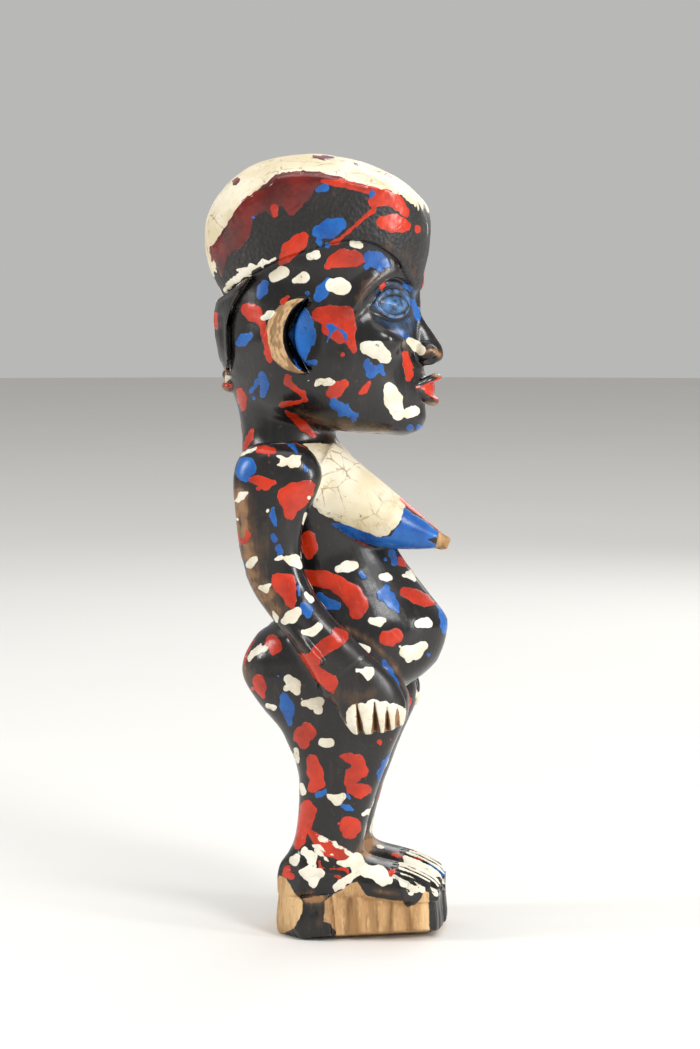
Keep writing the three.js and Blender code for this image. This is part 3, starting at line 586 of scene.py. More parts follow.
# adze flutes down the sides
for side, spots in ((-1, [(2.4, 8.0, 2.0), (11.2, 5.0, 1.6), (17.3, 4.0, 1.3), (24.2, 5.0, 1.2), (-3.4, 0.9, 0.9), (7.1, 0.8, 0.9), (20.6, 0.7, 0.6)]),
                    (1, [(-14, 4, 0.9), (-7, 3.6, 1.1), (-0.5, 3.6, 1.2), (6.4, 3.4, 1.0), (12.8, 3.6, 1.1), (19.4, 3.6, 1.0)])):
    for c, wide, deep in spots:
        edge = np.interp(c, [-20, -6, 10, 26, 35], [25.8, 27.2, 26.6, 23, 15.5])
        lean = 0.10 * (z - 8) * (1 if int(c * 10) % 2 else -1)
        deep = deep * (1.7 if side < 0 else 1.3)
        cut = np.sqrt(((x - side * (edge + 0.5 + wide * 1.6 - deep)) / 1.6) ** 2 + (f - c - lean) ** 2) - wide
        block = smax(block, -cut.astype(np.float32), 0.22)
for c, wide, deep in [(-14, 4.4, 0.8), (-5, 4.2, 0.9), (4, 4.4, 1.0), (13, 4, 0.8)]:  # front and back faces
    for edge, s in ((37.0, 1), (-27.0, -1)):
        cut = np.sqrt((x - c - 0.08 * z) ** 2 + ((f - s * (edge * s + wide * 1.6 - deep)) / 1.6) ** 2) - wide
        block = smax(block, -cut.astype(np.float32), 0.35)
h = np.maximum(0.7 - np.abs(lower_d - block), 0) * (np.minimum(lower_d, block) < 0.7)
lower_l[block < lower_d] = 12
both = np.minimum(lower_d, block) - h * h / 2.8
# split-off corner behind the right heel, and smaller chips
both = facet(both, (-23.4, -21.2, 12.0), (-0.80, -0.62, 0.10))
both = facet(both, (-21.2, -22.6, 3.2), (-0.62, -0.60, -0.50))
both = facet(both, (-19.5, 31.4, 8), (-0.75, 0.66, -0.05))
both = facet(both, (20, 31.5, 8), (0.70, 0.70, -0.08))
both = facet(both, (22.5, -22.5, 9), (0.7, -0.7, 0.1))
both = facet(both, (0, 34.6, 1.6), (0, 0.42, -0.9))
both = smax(both, (0.5 + 0.11 * (f + 19) - 0.32 * (x + 27) - z).astype(np.float32), 0.3)
D[sl] = both
note("block")

# ---------------------------------------------------------------------------------------------------------
# Surface
# ---------------------------------------------------------------------------------------------------------
BG = 3.0
grid = vdb.FloatGrid(BG)
grid.transform = vdb.createLinearTransform(H)
grid.copyFromArray(np.clip(D, -BG, BG), ijk=tuple(int(v) for v in LO), tolerance=0.0)
V, Q = grid.convertToQuads(0.0)
V = np.asarray(V, np.float64)
Q = np.asarray(Q, np.int64)[:, ::-1]
note(f"surface: {len(V)} points, {len(Q)} quads")


def face_normals(v, q):
    return np.cross(v[q[:, 2]] - v[q[:, 0]], v[q[:, 3]] - v[q[:, 1]])


def point_normals(v, q):
    n = face_normals(v, q)
    out = np.stack([np.bincount(q.ravel(), np.repeat(n[:, c], 4), len(v)) for c in range(3)], -1)
    return out / (np.linalg.norm(out, axis=1, keepdims=True) + 1e-12)


# facing out
vol = np.einsum("ij,ij->i", V[Q[:, 0]], np.cross(V[Q[:, 1]], V[Q[:, 2]])) + np.einsum("ij,ij->i", V[Q[:, 0]], np.cross(V[Q[:, 2]], V[Q[:, 3]]))
if vol.sum() < 0:
    Q = Q[:, ::-1]
E = np.concatenate([Q[:, [0, 1]], Q[:, [1, 2]], Q[:, [2, 3]], Q[:, [3, 0]]])
degree = np.bincount(E.ravel(), minlength=len(V)).astype(float)


def spread(a, times=1, weight=1.0):
    """Smooths a number or vector carried by the points over their neighbours."""
    a = np.asarray(a, float)
    flat = a.reshape(len(V), -1)
    for _ in range(times):
        out = np.stack([np.bincount(E[:, 0], flat[E[:, 1], c], len(V)) + np.bincount(E[:, 1], flat[E[:, 0], c], len(V)) for c in range(flat.shape[1])], -1)
        flat = flat + weight * (out / degree[:, None] - flat)
    return flat.reshape(a.shape)


# one light pass takes out the grid's stair steps without rounding the crisp edges
V = spread(V, 1, 0.5)
V = spread(V, 1, -0.52)
N = point_normals(V, Q)


class Noise:
    """Smooth seeded noise on a lattice, -1 to 1."""

    def __init__(self, seed, size=24):
        self.t = np.random.default_rng(seed).uniform(-1, 1, (size, size, size)).astype(np.float32)
        self.n = size

    def __call__(self, p, scale):
        q = np.asarray(p) / np.asarray(scale, float) + 1000.0
        i = np.floor(q).astype(np.int64)
        w = q - i
        w = w * w * (3 - 2 * w)
        out = 0.0
        for a in (0, 1):
            for b in (0, 1):
                for c in (0, 1):
                    wt = (w[:, 0] if a else 1 - w[:, 0]) * (w[:, 1] if b else 1 - w[:, 1]) * (w[:, 2] if c else 1 - w[:, 2])
                    out = out + wt * self.t[(i[:, 0] + a) % self.n, (i[:, 1] + b) % self.n, (i[:, 2] + c) % self.n]
        return out


noise = [Noise(SEED + i) for i in range(6)]

# labels of the faces, with small islands given to their neighbours
centre = V[Q].mean(1)
ci = np.clip(np.round(centre / H).astype(int) - LO, 0, np.array(SHAPE) - 1)
fl = L[ci[:, 0], ci[:, 1], ci[:, 2]].astype(np.int64)
for _ in range(2):  # unlabelled points take the label one step inwards
    bad = fl == 0
    if bad.any():
        inn = centre[bad] - face_normals(V, Q)[bad] / (np.linalg.norm(face_normals(V, Q)[bad], axis=1, keepdims=True) + 1e-9) * H * 1.5
        ii = np.clip(np.round(inn / H).astype(int) - LO, 0, np.array(SHAPE) - 1)
        fl[bad] = L[ii[:, 0], ii[:, 1], ii[:, 2]]
key = np.sort(E, 1)
key = key[:, 0] * len(V) + key[:, 1]
order = np.argsort(key, kind="stable")
ks = key[order]
same = np.nonzero(ks[1:] == ks[:-1])[0]
fa, fb = order[same] % len(Q), order[same + 1] % len(Q)


def islands(fl):
    comp = np.arange(len(fl))
    ok = fl[fa] == fl[fb]
    a, b = fa[ok], fb[ok]
    while True:
        m = np.minimum(comp[a], comp[b])
        new = comp.copy()
        np.minimum.at(new, a, m)
        np.minimum.at(new, b, m)
        new = new[new]
        new = new[new]
        if (new == comp).all():
            return comp
        comp = new


for _ in range(4):
    comp = islands(fl)
    ids, inv, count = np.unique(comp, return_inverse=True, return_counts=True)
    biggest = {}
    for i, c in enumerate(ids):
        lab = fl[c]
        if lab not in biggest or count[i] > count[biggest[lab]]:
            biggest[lab] = i
    keep = np.zeros(len(ids), bool)
    keep[list(biggest.values())] = True
    stray = ~keep[inv]
    if not stray.any():
        break
    new = fl.copy()
    edge = stray[fa] & ~stray[fb]
    new[fa[edge]] = fl[fb[edge]]
    edge = stray[fb] & ~stray[fa]
    new[fb[edge]] = fl[fa[edge]]
    # grow inwards until the island is gone
    for _ in range(400):
        left = (new == fl) & stray
        if not left.any():
            break
        done = ~left
        edge = left[fa] & done[fb]
        e2 = left[fb] & done[fa]
        if not edge.any() and not e2.any():
            break
        new[fa[edge]] = new[fb[edge]]
        new[fb[e2]] = new[fa[e2]]
    fl = new
note(f"regions: {sorted(set(fl.tolist()))}")
vl = np.zeros(len(V), np.int64)
vl[Q.ravel()] = np.repeat(fl, 4)
base = vl % LEFT  # label without its side
name_of = {v: k for k, v in LABELS.items()}

# ---------------------------------------------------------------------------------------------------------
# Paint. A dab is a chain of round brush marks (f, z, radius) in the side elevation, as seen from the viewpoint EYE.
# ---------------------------------------------------------------------------------------------------------
EYE = np.array([-1091.8, 134.06, 253.77])  # x, f, z of the viewpoint
DABS = [
    ("head", "red", 0, [[9.1, 281.7, 2.27], [13.6, 283.0, 3.0], [18.1, 281.2, 2.54], [21.2, 277.7, 1.63], [21.9, 276.3, 0.73]]),
    ("head", "red", 0, [[-10.7, 289.5, 0.73], [-2.6, 287.9, 1.0], [6.4, 285.7, 1.09], [12.7, 284.3, 1.27]]),
    ("head", "red", 0, [[8.9, 278.1, 0.91], [6.0, 275.8, 0.64], [2.8, 273.1, 0.73], [-0.3, 270.4, 0.64], [-2.6, 268.4, 0.64], [-5.1, 266.4, 1.09], [-7.3, 265.6, 0.64]]),
    ("head", "red", 0, [[12.9, 273.6, 2.45], [16.5, 273.4, 3.45], [20.1, 272.5, 2.54], [21.5, 272.2, 1.82]]),
    ("head", "red", 0, [[26.0, 271.0, 1.45]]),
    ("head", "red", 0, [[-26.4, 258.5, 1.27], [-25.2, 260.1, 2.18], [-23.2, 263.1, 3.27], [-19.9, 266.0, 3.09], [-17.9, 268.4, 1.63]]),
    ("head", "red", 0, [[-8.7, 257.1, 1.36], [-5.7, 259.1, 2.72], [-2.6, 260.1, 3.45], [1.9, 259.9, 3.09], [4.6, 259.4, 1.45]]),
    ("head", "red", 0, [[-39.9, 240.3, 2.54], [-37.2, 238.6, 3.27], [-34.8, 236.2, 1.82], [-33.6, 233.1, 1.18], [-33.0, 228.6, 1.0], [-32.2, 224.1, 1.09], [-31.3, 221.0, 1.09]]),
    ("head", "red", 0, [[-11.6, 238.5, 3.09], [-7.1, 237.6, 4.18], [-1.9, 238.5, 3.27], [-0.6, 233.2, 2.9], [-0.2, 228.7, 2.18], [1.5, 224.7, 1.09]]),
    ("head", "red", 0, [[-8.0, 233.1, 3.09], [-3.5, 230.3, 3.09]]),
    ("head", "blue", 0, [[-8.2, 233.9, 0.82], [-6.9, 232.4, 0.82], [-8.0, 230.5, 0.54], [-9.1, 227.9, 0.45]]),
    ("head", "blue", 0, [[-5.1, 233.2, 0.54], [-3.5, 232.3, 0.73], [-1.9, 230.5, 0.73], [-1.5, 228.7, 0.45]]),
    ("head", "blue", 0, [[-7.1, 234.5, 0.73], [-6.2, 233.6, 0.54]]),
    ("head", "red", 0, [[21.3, 223.4, 1.18], [22.2, 219.8, 1.82], [23.0, 216.7, 2.0], [22.5, 214.0, 1.27]]),
    ("head", "red", 0, [[-8.0, 208.0, 1.45], [-5.5, 209.7, 2.9], [-2.6, 211.6, 1.82], [-6.7, 207.1, 1.45]]),
    ("head", "red", 0, [[-23.9, 214.2, 1.27], [-24.2, 212.4, 1.27], [-21.6, 210.2, 1.09], [-18.5, 208.0, 1.18], [-17.3, 205.7, 0.91], [-20.7, 204.5, 0.73], [-26.2, 203.6, 1.27]]),
    ("head", "red", 0, [[-24.8, 201.2, 0.73], [-21.7, 198.5, 1.27], [-18.0, 195.4, 1.82], [-14.2, 192.2, 1.27]]),
    ("head", "red", 0, [[-43.1, 208.9, 1.36], [-42.1, 205.6, 1.82], [-41.7, 202.3, 1.09]]),
    ("head", "red", 0, [[7.5, 212.1, 0.82], [5.4, 209.4, 1.36], [3.7, 208.3, 0.54]]),
    ("head", "red", 0, [[-52.4, 238.4, 0.91], [-52.0, 233.5, 0.91]]),
    ("head", "red", 0, [[-38.1, 193.9, 0.91], [-39.3, 190.7, 1.27], [-40.6, 188.4, 1.0], [-41.8, 186.0, 0.64]]),
    ("head", "red", 0, [[-26.1, 243.1, 1.09], [-24.1, 245.2, 0.82]]),
    ("head", "red", 0, [[-3.0, 223.1, 0.73]]),
    ("head", "red", 0, [[-29.2, 279.1, 1.45], [-29.2, 276.7, 1.18]]),
    ("head", "maroon", 0, [[-39.8, 273.8, 1.82], [-41.7, 270.2, 3.09], [-44.2, 266.4, 2.72], [-46.6, 263.4, 1.36], [-49.3, 260.9, 1.09]]),
    ("head", "maroon", 0, [[-38.7, 275.9, 1.09], [-35.1, 278.9, 1.45], [-31.5, 281.8, 2.36], [-26.0, 285.6, 4.18], [-22.4, 285.1, 5.45], [-18.8, 286.0, 4.72], [-14.3, 289.1, 2.54], [-8.0, 290.0, 1.09], [-0.8, 288.0, 0.82], [6.4, 285.9, 0.82]]),
    ("head", "maroon", 0, [[-26.0, 282.2, 1.63], [-23.5, 279.6, 2.0], [-22.4, 278.1, 1.45], [-19.7, 280.6, 1.63]]),
    ("head", "maroon", 0, [[-52.4, 260.4, 1.09], [-50.4, 259.1, 1.82], [-49.9, 257.3, 0.91]]),
    ("head", "maroon", 0, [[-54.0, 264.0, 0.64], [-53.4, 259.1, 0.54]]),
    ("head", "maroon", 0, [[-44.5, 288.9, 1.09], [-43.6, 290.0, 0.91]]),
    ("head", "maroon", 0, [[-13.8, 298.5, 0.64], [-9.8, 298.0, 0.91], [-6.6, 298.0, 0.45]]),
    ("head", "maroon", 0, [[13.6, 291.7, 0.45], [15.8, 291.0, 0.73], [18.5, 289.9, 0.54]]),
    ("head", "maroon", 0, [[1.5, 295.8, 0.36], [3.5, 295.3, 0.54]]),
    ("head", "maroon", 0, [[23.0, 286.1, 0.45], [24.8, 284.3, 0.54], [26.1, 282.1, 0.45]]),
    ("head", "maroon", 0, [[18.1, 283.0, 0.73], [20.8, 280.5, 0.73]]),
    ("head", "blue", 0, [[-12.5, 286.1, 1.09], [-9.6, 287.0, 1.36]]),
    ("head", "blue", 0, [[8.4, 284.6, 1.09], [7.9, 283.0, 0.54]]),
    ("head", "blue", 0, [[-11.6, 270.1, 2.9], [-7.5, 271.5, 3.81], [-3.5, 273.1, 2.36]]),
    ("head", "blue", 0, [[-12.0, 266.5, 1.27], [-11.4, 265.1, 0.73]]),
    ("head", "blue", 0, [[-8.7, 264.9, 1.09]]),
    ("head", "blue", 0, [[7.3, 260.4, 2.18], [10.2, 259.4, 3.09], [13.4, 258.2, 1.82], [15.2, 257.1, 0.73]]),
    ("head", "blue", 0, [[6.4, 256.8, 1.27]]),
    ("head", "blue", 0, [[11.7, 255.7, 1.09]]),
    ("head", "blue", 0, [[-33.0, 250.6, 1.45], [-34.1, 247.9, 2.09], [-35.0, 245.8, 1.36]]),
    ("head", "blue", 0, [[-8.4, 250.6, 1.82], [-10.5, 247.5, 2.54], [-12.5, 244.6, 1.54]]),
    ("head", "blue", 0, [[-43.5, 227.2, 1.18], [-41.4, 228.6, 2.18], [-38.9, 230.2, 1.18]]),
    ("head", "blue", 0, [[-18.0, 240.3, 1.27], [-17.1, 234.9, 2.72], [-16.6, 230.0, 2.72], [-18.4, 225.0, 2.36], [-18.2, 221.0, 1.09]]),
    ("ear", "blue", 0, [[-18.9, 239.4, 1.82], [-19.8, 234.9, 2.9], [-20.2, 230.4, 3.09], [-20.3, 225.0, 2.54], [-19.4, 218.8, 1.45]]),
    ("head", "blue", 0, [[-13.8, 220.0, 1.09]]),
    ("head", "blue", 0, [[-34.4, 214.9, 1.63], [-33.1, 211.5, 1.63], [-33.7, 207.7, 1.36]]),
    ("head", "blue", 0, [[-36.2, 212.6, 1.09], [-37.5, 210.1, 0.64], [-38.4, 208.8, 0.73]]),
    ("head", "blue", 0, [[-37.3, 206.1, 0.64]]),
    ("head", "blue", 0, [[6.5, 219.8, 1.63], [8.4, 216.6, 2.36], [11.7, 217.8, 1.45], [13.0, 215.5, 0.73]]),
    ("head", "blue", 1, [[-6.7, 204.3, 1.82], [-3.0, 201.9, 2.18], [1.5, 199.3, 1.63]]),
    ("head", "blue", 0, [[23.4, 195.2, 1.36]]),
    ("head", "blue", 0, [[26.9, 195.3, 1.27]]),
    ("head", "blue", 0, [[-37.3, 275.6, 0.64]]),
    ("head", "blue", 0, [[-16.6, 246.6, 0.64]]),
    ("head", "white", 0, [[-15.9, 260.8, 1.18], [-13.2, 261.3, 1.63]]),
    ("head", "white", 0, [[0.8, 265.5, 1.09], [3.7, 264.9, 1.54]]),
    ("head", "white", 0, [[-29.5, 252.8, 2.0], [-26.1, 254.6, 2.54]]),
    ("head", "white", 0, [[-21.6, 251.5, 1.09], [-18.1, 252.6, 2.36]]),
    ("head", "white", 0, [[-7.1, 249.4, 2.54], [-3.5, 249.1, 3.27], [-1.5, 249.1, 2.0]]),
    ("head", "white", 0, [[-33.8, 237.1, 0.91], [-31.2, 238.3, 1.45], [-29.6, 239.2, 0.73]]),
    ("head", "white", 0, [[6.3, 225.8, 2.54], [9.9, 225.1, 3.27], [13.3, 222.6, 2.72]]),
    ("head", "white", 0, [[23.1, 228.3, 1.45], [25.4, 226.8, 2.0], [27.5, 225.0, 1.82]]),
    ("head", "white", 1, [[-12.4, 212.0, 1.18], [-8.0, 212.9, 1.63]]),
    ("head", "white", 0, [[15.3, 209.8, 2.54], [16.8, 205.5, 3.63], [18.4, 200.3, 2.54]]),
    ("head", "white", 0, [[22.3, 200.6, 1.82], [24.9, 201.5, 2.18]]),
    ("head", "white", 1, [[-48.3, 248.1, 1.09], [-44.7, 251.7, 1.63], [-38.8, 255.7, 1.45], [-34.3, 257.5, 1.0], [-29.2, 259.8, 0.64]]),
    ("head", "white", 0, [[-43.4, 255.5, 0.45], [-38.8, 256.4, 0.45]]),
    ("head", "white", 0, [[-47.6, 214.0, 1.18], [-48.5, 212.8, 0.73]]),
    ("head", "white", 0, [[-38.6, 253.0, 0.64]]),
    ("head", "white", 0, [[-16.2, 212.9, 0.45]]),
    ("head", "red", 0, [[-49.0, 211.9, 0.91], [-46.7, 210.5, 0.73]]),
    ("arm", "white", 0, [[-42.5, 183.9, 0.43], [-39.5, 185.4, 0.64], [-36.6, 186.7, 0.36]]),
    ("arm", "white", 1, [[-26.0, 182.3, 1.0], [-23.1, 181.7, 1.85], [-21.0, 183.0, 1.43], [-20.1, 180.8, 0.86]]),
    ("arm", "white", 0, [[-28.7, 183.9, 0.36], [-26.0, 182.9, 0.64]]),
    ("arm", "white", 0, [[-28.3, 180.3, 0.43], [-25.6, 180.4, 0.86]]),
    ("arm", "white", 1, [[-44.0, 166.4, 0.86], [-42.0, 167.8, 1.21], [-40.1, 169.4, 0.78]]),
    ("arm", "white", 0, [[-32.1, 162.6, 0.78]]),
    ("arm", "white", 0, [[-44.2, 159.2, 0.5]]),
    ("arm", "white", 0, [[-39.3, 141.3, 1.43], [-37.6, 143.6, 1.43]]),
    ("arm", "white", 0, [[-16.0, 167.9, 0.71]]),
    ("arm", "white", 0, [[-29.1, 143.7, 0.57], [-26.9, 144.4, 0.78]]),
    ("arm", "white", 0, [[-24.8, 144.0, 1.14], [-22.1, 143.1, 2.28], [-20.0, 141.6, 1.57]]),
    ("arm", "white", 0, [[-21.0, 144.6, 1.0], [-20.0, 144.3, 0.57]]),
    ("arm", "white", 1, [[-35.3, 132.6, 0.86], [-33.3, 132.2, 1.71], [-31.7, 133.6, 1.14]]),
    ("arm", "white", 0, [[-17.3, 161.1, 0.71], [-18.1, 157.9, 0.78]]),
    ("arm", "white", 0, [[-25.5, 119.4, 1.36], [-23.2, 121.3, 2.42], [-20.5, 123.2, 1.71]]),
    ("arm", "white", 0, [[-30.1, 123.2, 0.36], [-29.1, 120.9, 0.78], [-28.8, 119.3, 0.36]]),
    ("arm", "white", 0, [[-18.1, 115.3, 1.07], [-14.9, 115.4, 1.78], [-11.9, 117.6, 1.5]]),
    ("arm", "white", 0, [[-17.3, 130.4, 1.0], [-15.2, 128.1, 1.21]]),
    ("arm", "blue", 0, [[-40.3, 179.5, 3.92], [-41.6, 177.1, 3.0], [-40.6, 174.5, 1.14]]),
    ("arm", "blue", 0, [[-24.3, 189.1, 0.78], [-22.2, 187.9, 0.78], [-21.0, 185.6, 0.5], [-20.3, 184.2, 0.36]]),
    ("arm", "blue", 0, [[-17.8, 180.7, 0.36], [-17.0, 178.4, 0.78]]),
    ("arm", "blue", 0, [[-30.0, 163.4, 0.93], [-30.3, 160.9, 1.07], [-29.6, 158.8, 1.07], [-29.1, 157.0, 0.78]]),
    ("arm", "blue", 0, [[-30.1, 153.0, 0.93], [-29.4, 151.1, 1.28]]),
    ("arm", "blue", 0, [[-28.1, 148.3, 1.28], [-27.1, 146.6, 0.93], [-27.8, 144.8, 0.64]]),
    ("arm", "blue", 0, [[-20.3, 133.2, 0.43], [-19.8, 130.0, 0.71]]),
    ("arm", "blue", 0, [[-18.0, 125.7, 1.43], [-16.8, 123.9, 2.14], [-16.5, 121.8, 1.36]]),
    ("arm", "blue", 0, [[-42.1, 142.4, 0.57], [-41.5, 139.8, 0.57]]),
    ("arm", "red", 0, [[-35.9, 186.4, 1.14], [-33.1, 186.3, 1.85], [-30.1, 185.7, 1.28]]),
    ("arm", "red", 0, [[-31.7, 185.1, 0.86], [-31.7, 183.6, 0.64]]),
    ("arm", "red", 0, [[-38.8, 174.6, 1.0], [-35.9, 174.3, 1.85], [-33.0, 173.0, 2.28], [-29.6, 173.4, 0.93]]),
    ("arm", "red", 0, [[-35.8, 171.2, 0.93]]),
    ("arm", "red", 0, [[-26.0, 169.4, 2.0], [-22.4, 170.9, 2.42], [-18.1, 172.6, 1.71], [-15.6, 173.6, 1.0]]),
    ("arm", "red", 0, [[-25.2, 166.0, 2.42], [-23.2, 162.4, 2.14], [-23.2, 160.0, 1.0]]),
    ("arm", "red", 0, [[-23.1, 167.4, 2.85], [-19.6, 168.2, 2.85], [-16.7, 170.3, 1.43]]),
    ("arm", "red", 0, [[-44.0, 152.8, 0.64], [-42.9, 150.5, 0.78], [-41.0, 150.5, 0.93], [-39.7, 153.0, 0.78], [-40.1, 154.8, 0.5]]),
    ("arm", "red", 0, [[-28.1, 136.1, 2.28], [-23.9, 135.3, 2.57], [-23.8, 131.4, 2.57], [-22.9, 127.8, 2.0], [-22.8, 125.2, 0.93]]),
    ("arm", "red", 0, [[-26.4, 131.7, 1.28]]),
    ("hand", "red", 0, [[-3.0, 113.4, 2.35], [-5.3, 111.2, 2.42], [-8.9, 109.6, 2.14], [-12.3, 108.8, 2.14]]),
    ("arm", "red", 0, [[-5.6, 115.7, 1.43], [-3.7, 113.8, 2.28], [-6.0, 111.1, 2.28], [-11.0, 109.3, 2.0], [-13.2, 107.9, 1.43]]),
    ("hand", "red", 0, [[-11.7, 105.4, 2.42], [-13.5, 103.2, 1.85], [-14.6, 101.0, 1.71]]),
    ("hand", "red", 0, [[-21.1, 106.3, 0.93], [-17.5, 103.1, 1.71], [-14.5, 99.9, 1.85], [-11.8, 96.8, 1.21], [-10.2, 94.9, 0.78]]),
    ("hand", "red", 0, [[-8.0, 96.7, 2.57], [-7.3, 94.0, 1.5], [-6.6, 91.7, 0.57]]),
    ("arm", "red", 0, [[-21.1, 106.3, 0.93], [-17.5, 103.1, 1.43], [-14.6, 101.0, 1.43]]),
    ("torso", "red", 0, [[-16.0, 151.8, 3.0], [-15.6, 148.1, 2.85], [-15.9, 145.3, 1.43]]),
    ("torso", "white", 0, [[-4.6, 140.1, 1.21], [-1.3, 141.0, 2.28], [2.0, 141.8, 1.43]]),
    ("torso", "blue", 0, [[4.3, 138.8, 0.78], [5.3, 137.4, 1.07]]),
    ("torso", "red", 0, [[-16.4, 136.8, 2.85], [-10.3, 136.2, 3.28], [-4.6, 134.0, 3.42], [0.5, 130.5, 3.85], [3.0, 126.7, 4.14], [2.6, 123.5, 3.0]]),
    ("torso", "blue", 0, [[-11.7, 129.7, 1.43], [-10.1, 126.9, 2.71], [-5.3, 125.7, 1.71]]),
    ("torso", "blue", 0, [[16.3, 146.5, 1.57], [17.3, 143.1, 1.43]]),
    ("torso", "blue", 0, [[14.0, 144.2, 0.78]]),
    ("torso", "red", 0, [[19.1, 145.0, 0.5], [20.1, 143.1, 1.36], [21.3, 142.0, 0.64]]),
    ("torso", "white", 0, [[12.3, 137.5, 1.36], [14.4, 137.2, 1.93]]),
    ("torso", "white", 0, [[20.9, 138.0, 0.64], [23.6, 138.4, 1.71], [25.1, 136.5, 0.86]]),
    ("torso", "blue", 0, [[14.2, 133.1, 1.43], [12.2, 130.6, 1.85], [15.1, 129.4, 2.42], [17.0, 126.6, 2.14], [18.5, 124.3, 1.0]]),
    ("torso", "red", 0, [[21.6, 131.5, 2.35], [25.4, 130.0, 2.71], [29.7, 128.2, 2.28], [32.0, 127.5, 1.0]]),
    ("torso", "white", 0, [[8.3, 120.0, 1.28], [11.2, 119.9, 1.78], [13.2, 120.4, 0.78]]),
    ("torso", "white", 0, [[26.7, 119.2, 1.71], [30.1, 119.8, 2.14]]),
    ("torso", "blue", 0, [[34.7, 127.0, 0.86], [36.0, 122.6, 1.28], [36.8, 118.3, 1.28], [36.5, 116.2, 0.71]]),
    ("torso", "red", 0, [[14.0, 113.3, 2.71], [17.6, 114.4, 3.0]]),
    ("torso", "red", 0, [[16.2, 111.6, 1.57]]),
    ("torso", "white", 0, [[21.3, 108.4, 2.28], [24.8, 108.1, 3.0], [28.5, 110.9, 1.85]]),
    ("torso", "white", 0, [[23.2, 105.5, 1.43]]),
    ("torso", "white", 0, [[19.5, 110.2, 0.64]]),
    ("torso", "blue", 0, [[30.5, 107.4, 0.5]]),
    ("torso", "white", 0, [[3.9, 110.4, 1.28], [6.3, 108.8, 1.71]]),
    ("torso", "blue", 0, [[13.2, 104.4, 0.78], [14.8, 100.8, 1.78], [16.9, 96.5, 1.93], [18.4, 93.0, 1.07]]),
    ("leg", "white", 0, [[3.9, 110.4, 1.28], [6.3, 108.8, 1.71]]),
    ("leg", "blue", 0, [[13.2, 104.4, 0.78], [14.8, 100.8, 1.78], [16.9, 96.5, 1.93], [18.4, 93.0, 1.07]]),
    ("torso", "blue", 0, [[-32.5, 118.4, 0.78], [-34.3, 116.5, 1.07]]),
    ("torso", "red", 0, [[-30.5, 111.7, 2.71], [-29.3, 109.4, 2.57], [-30.1, 107.1, 1.28]]),
    ("torso", "red", 0, [[-33.0, 110.6, 0.86]]),
    ("torso", "red", 0, [[-38.0, 112.3, 0.64], [-40.4, 107.8, 0.64], [-41.6, 103.3, 0.64]]),
    ("torso", "white", 1, [[-39.3, 105.1, 0.93], [-36.6, 107.4, 1.43], [-33.9, 109.0, 1.43]]),
    ("leg", "blue", 0, [[-32.5, 118.4, 0.78], [-34.3, 116.5, 1.07]]),
    ("leg", "red", 0, [[-30.5, 111.7, 2.71], [-29.3, 109.4, 2.57], [-30.1, 107.1, 1.28]]),
    ("leg", "red", 0, [[-33.0, 110.6, 0.86]]),
    ("leg", "red", 0, [[-38.0, 112.3, 0.64], [-40.4, 107.8, 0.64], [-41.6, 103.3, 0.64]]),
    ("leg", "white", 1, [[-39.3, 105.1, 0.93], [-36.6, 107.4, 1.43], [-33.9, 109.0, 1.43]]),
    ("near", "blue", 0, [[-34.8, 121.5, 0.78], [-33.3, 119.8, 0.64]]),
    ("leg", "red", 0, [[-35.9, 96.0, 2.47], [-35.2, 93.0, 2.18], [-34.3, 90.0, 1.16]]),
    ("leg", "red", 0, [[-37.7, 93.0, 1.02]]),
    ("leg", "white", 0, [[-24.2, 96.9, 1.74], [-22.0, 94.7, 2.47], [-20.5, 91.8, 1.45]]),
    ("leg", "white", 0, [[-25.1, 93.2, 1.02]]),
    ("leg", "blue", 0, [[-28.0, 97.9, 0.65]]),
    ("leg", "white", 0, [[-18.3, 87.5, 1.31], [-15.4, 87.2, 1.74], [-12.0, 88.2, 1.82]]),
    ("leg", "white", 0, [[-12.4, 85.2, 1.74]]),
    ("leg", "white", 0, [[-19.0, 89.1, 0.58]]),
    ("leg", "blue", 0, [[-26.1, 89.7, 1.6], [-24.6, 85.9, 2.76], [-23.9, 82.8, 1.74], [-23.5, 79.4, 0.73]]),
    ("leg", "white", 0, [[-32.1, 86.2, 0.94], [-29.9, 85.5, 1.09]]),
    ("leg", "red", 0, [[-16.9, 77.9, 1.96], [-15.7, 75.6, 2.4], [-18.9, 74.8, 3.05], [-18.3, 71.3, 2.03]]),
    ("leg", "red", 0, [[-21.4, 73.4, 1.02]]),
    ("leg", "white", 0, [[-10.8, 72.3, 1.74], [-7.7, 72.3, 1.74]]),
    ("leg", "white", 0, [[-21.3, 68.9, 0.87], [-20.7, 64.6, 0.94]]),
    ("leg", "red", 0, [[-15.0, 65.3, 2.25], [-13.9, 60.9, 3.05], [-12.3, 56.0, 2.47]]),
    ("leg", "red", 0, [[-14.2, 54.7, 2.47]]),
    ("leg", "red", 0, [[-3.5, 66.8, 0.58], [-0.7, 66.4, 1.74], [2.9, 65.0, 2.61], [4.0, 61.3, 3.19]]),
    ("leg", "red", 0, [[1.1, 59.1, 3.63], [-0.4, 56.6, 1.89]]),
    ("leg", "red", 0, [[0.6, 54.2, 2.03], [3.7, 53.4, 3.05], [6.7, 54.2, 1.89]]),
    ("leg", "blue", 0, [[18.7, 71.5, 0.65], [16.5, 67.6, 1.38], [14.3, 63.9, 1.82], [12.1, 60.2, 1.45], [11.3, 57.8, 0.58]]),
    ("leg", "red", 0, [[21.6, 78.3, 0.65], [20.4, 75.0, 0.94], [19.7, 73.4, 0.51]]),
    ("leg", "red", 0, [[24.6, 95.0, 0.87], [25.8, 93.5, 0.51]]),
    ("leg", "white", 0, [[-19.1, 55.1, 1.09], [-18.4, 52.4, 1.09]]),
    ("leg", "blue", 1, [[-13.1, 51.8, 1.16], [-10.1, 52.3, 1.31]]),
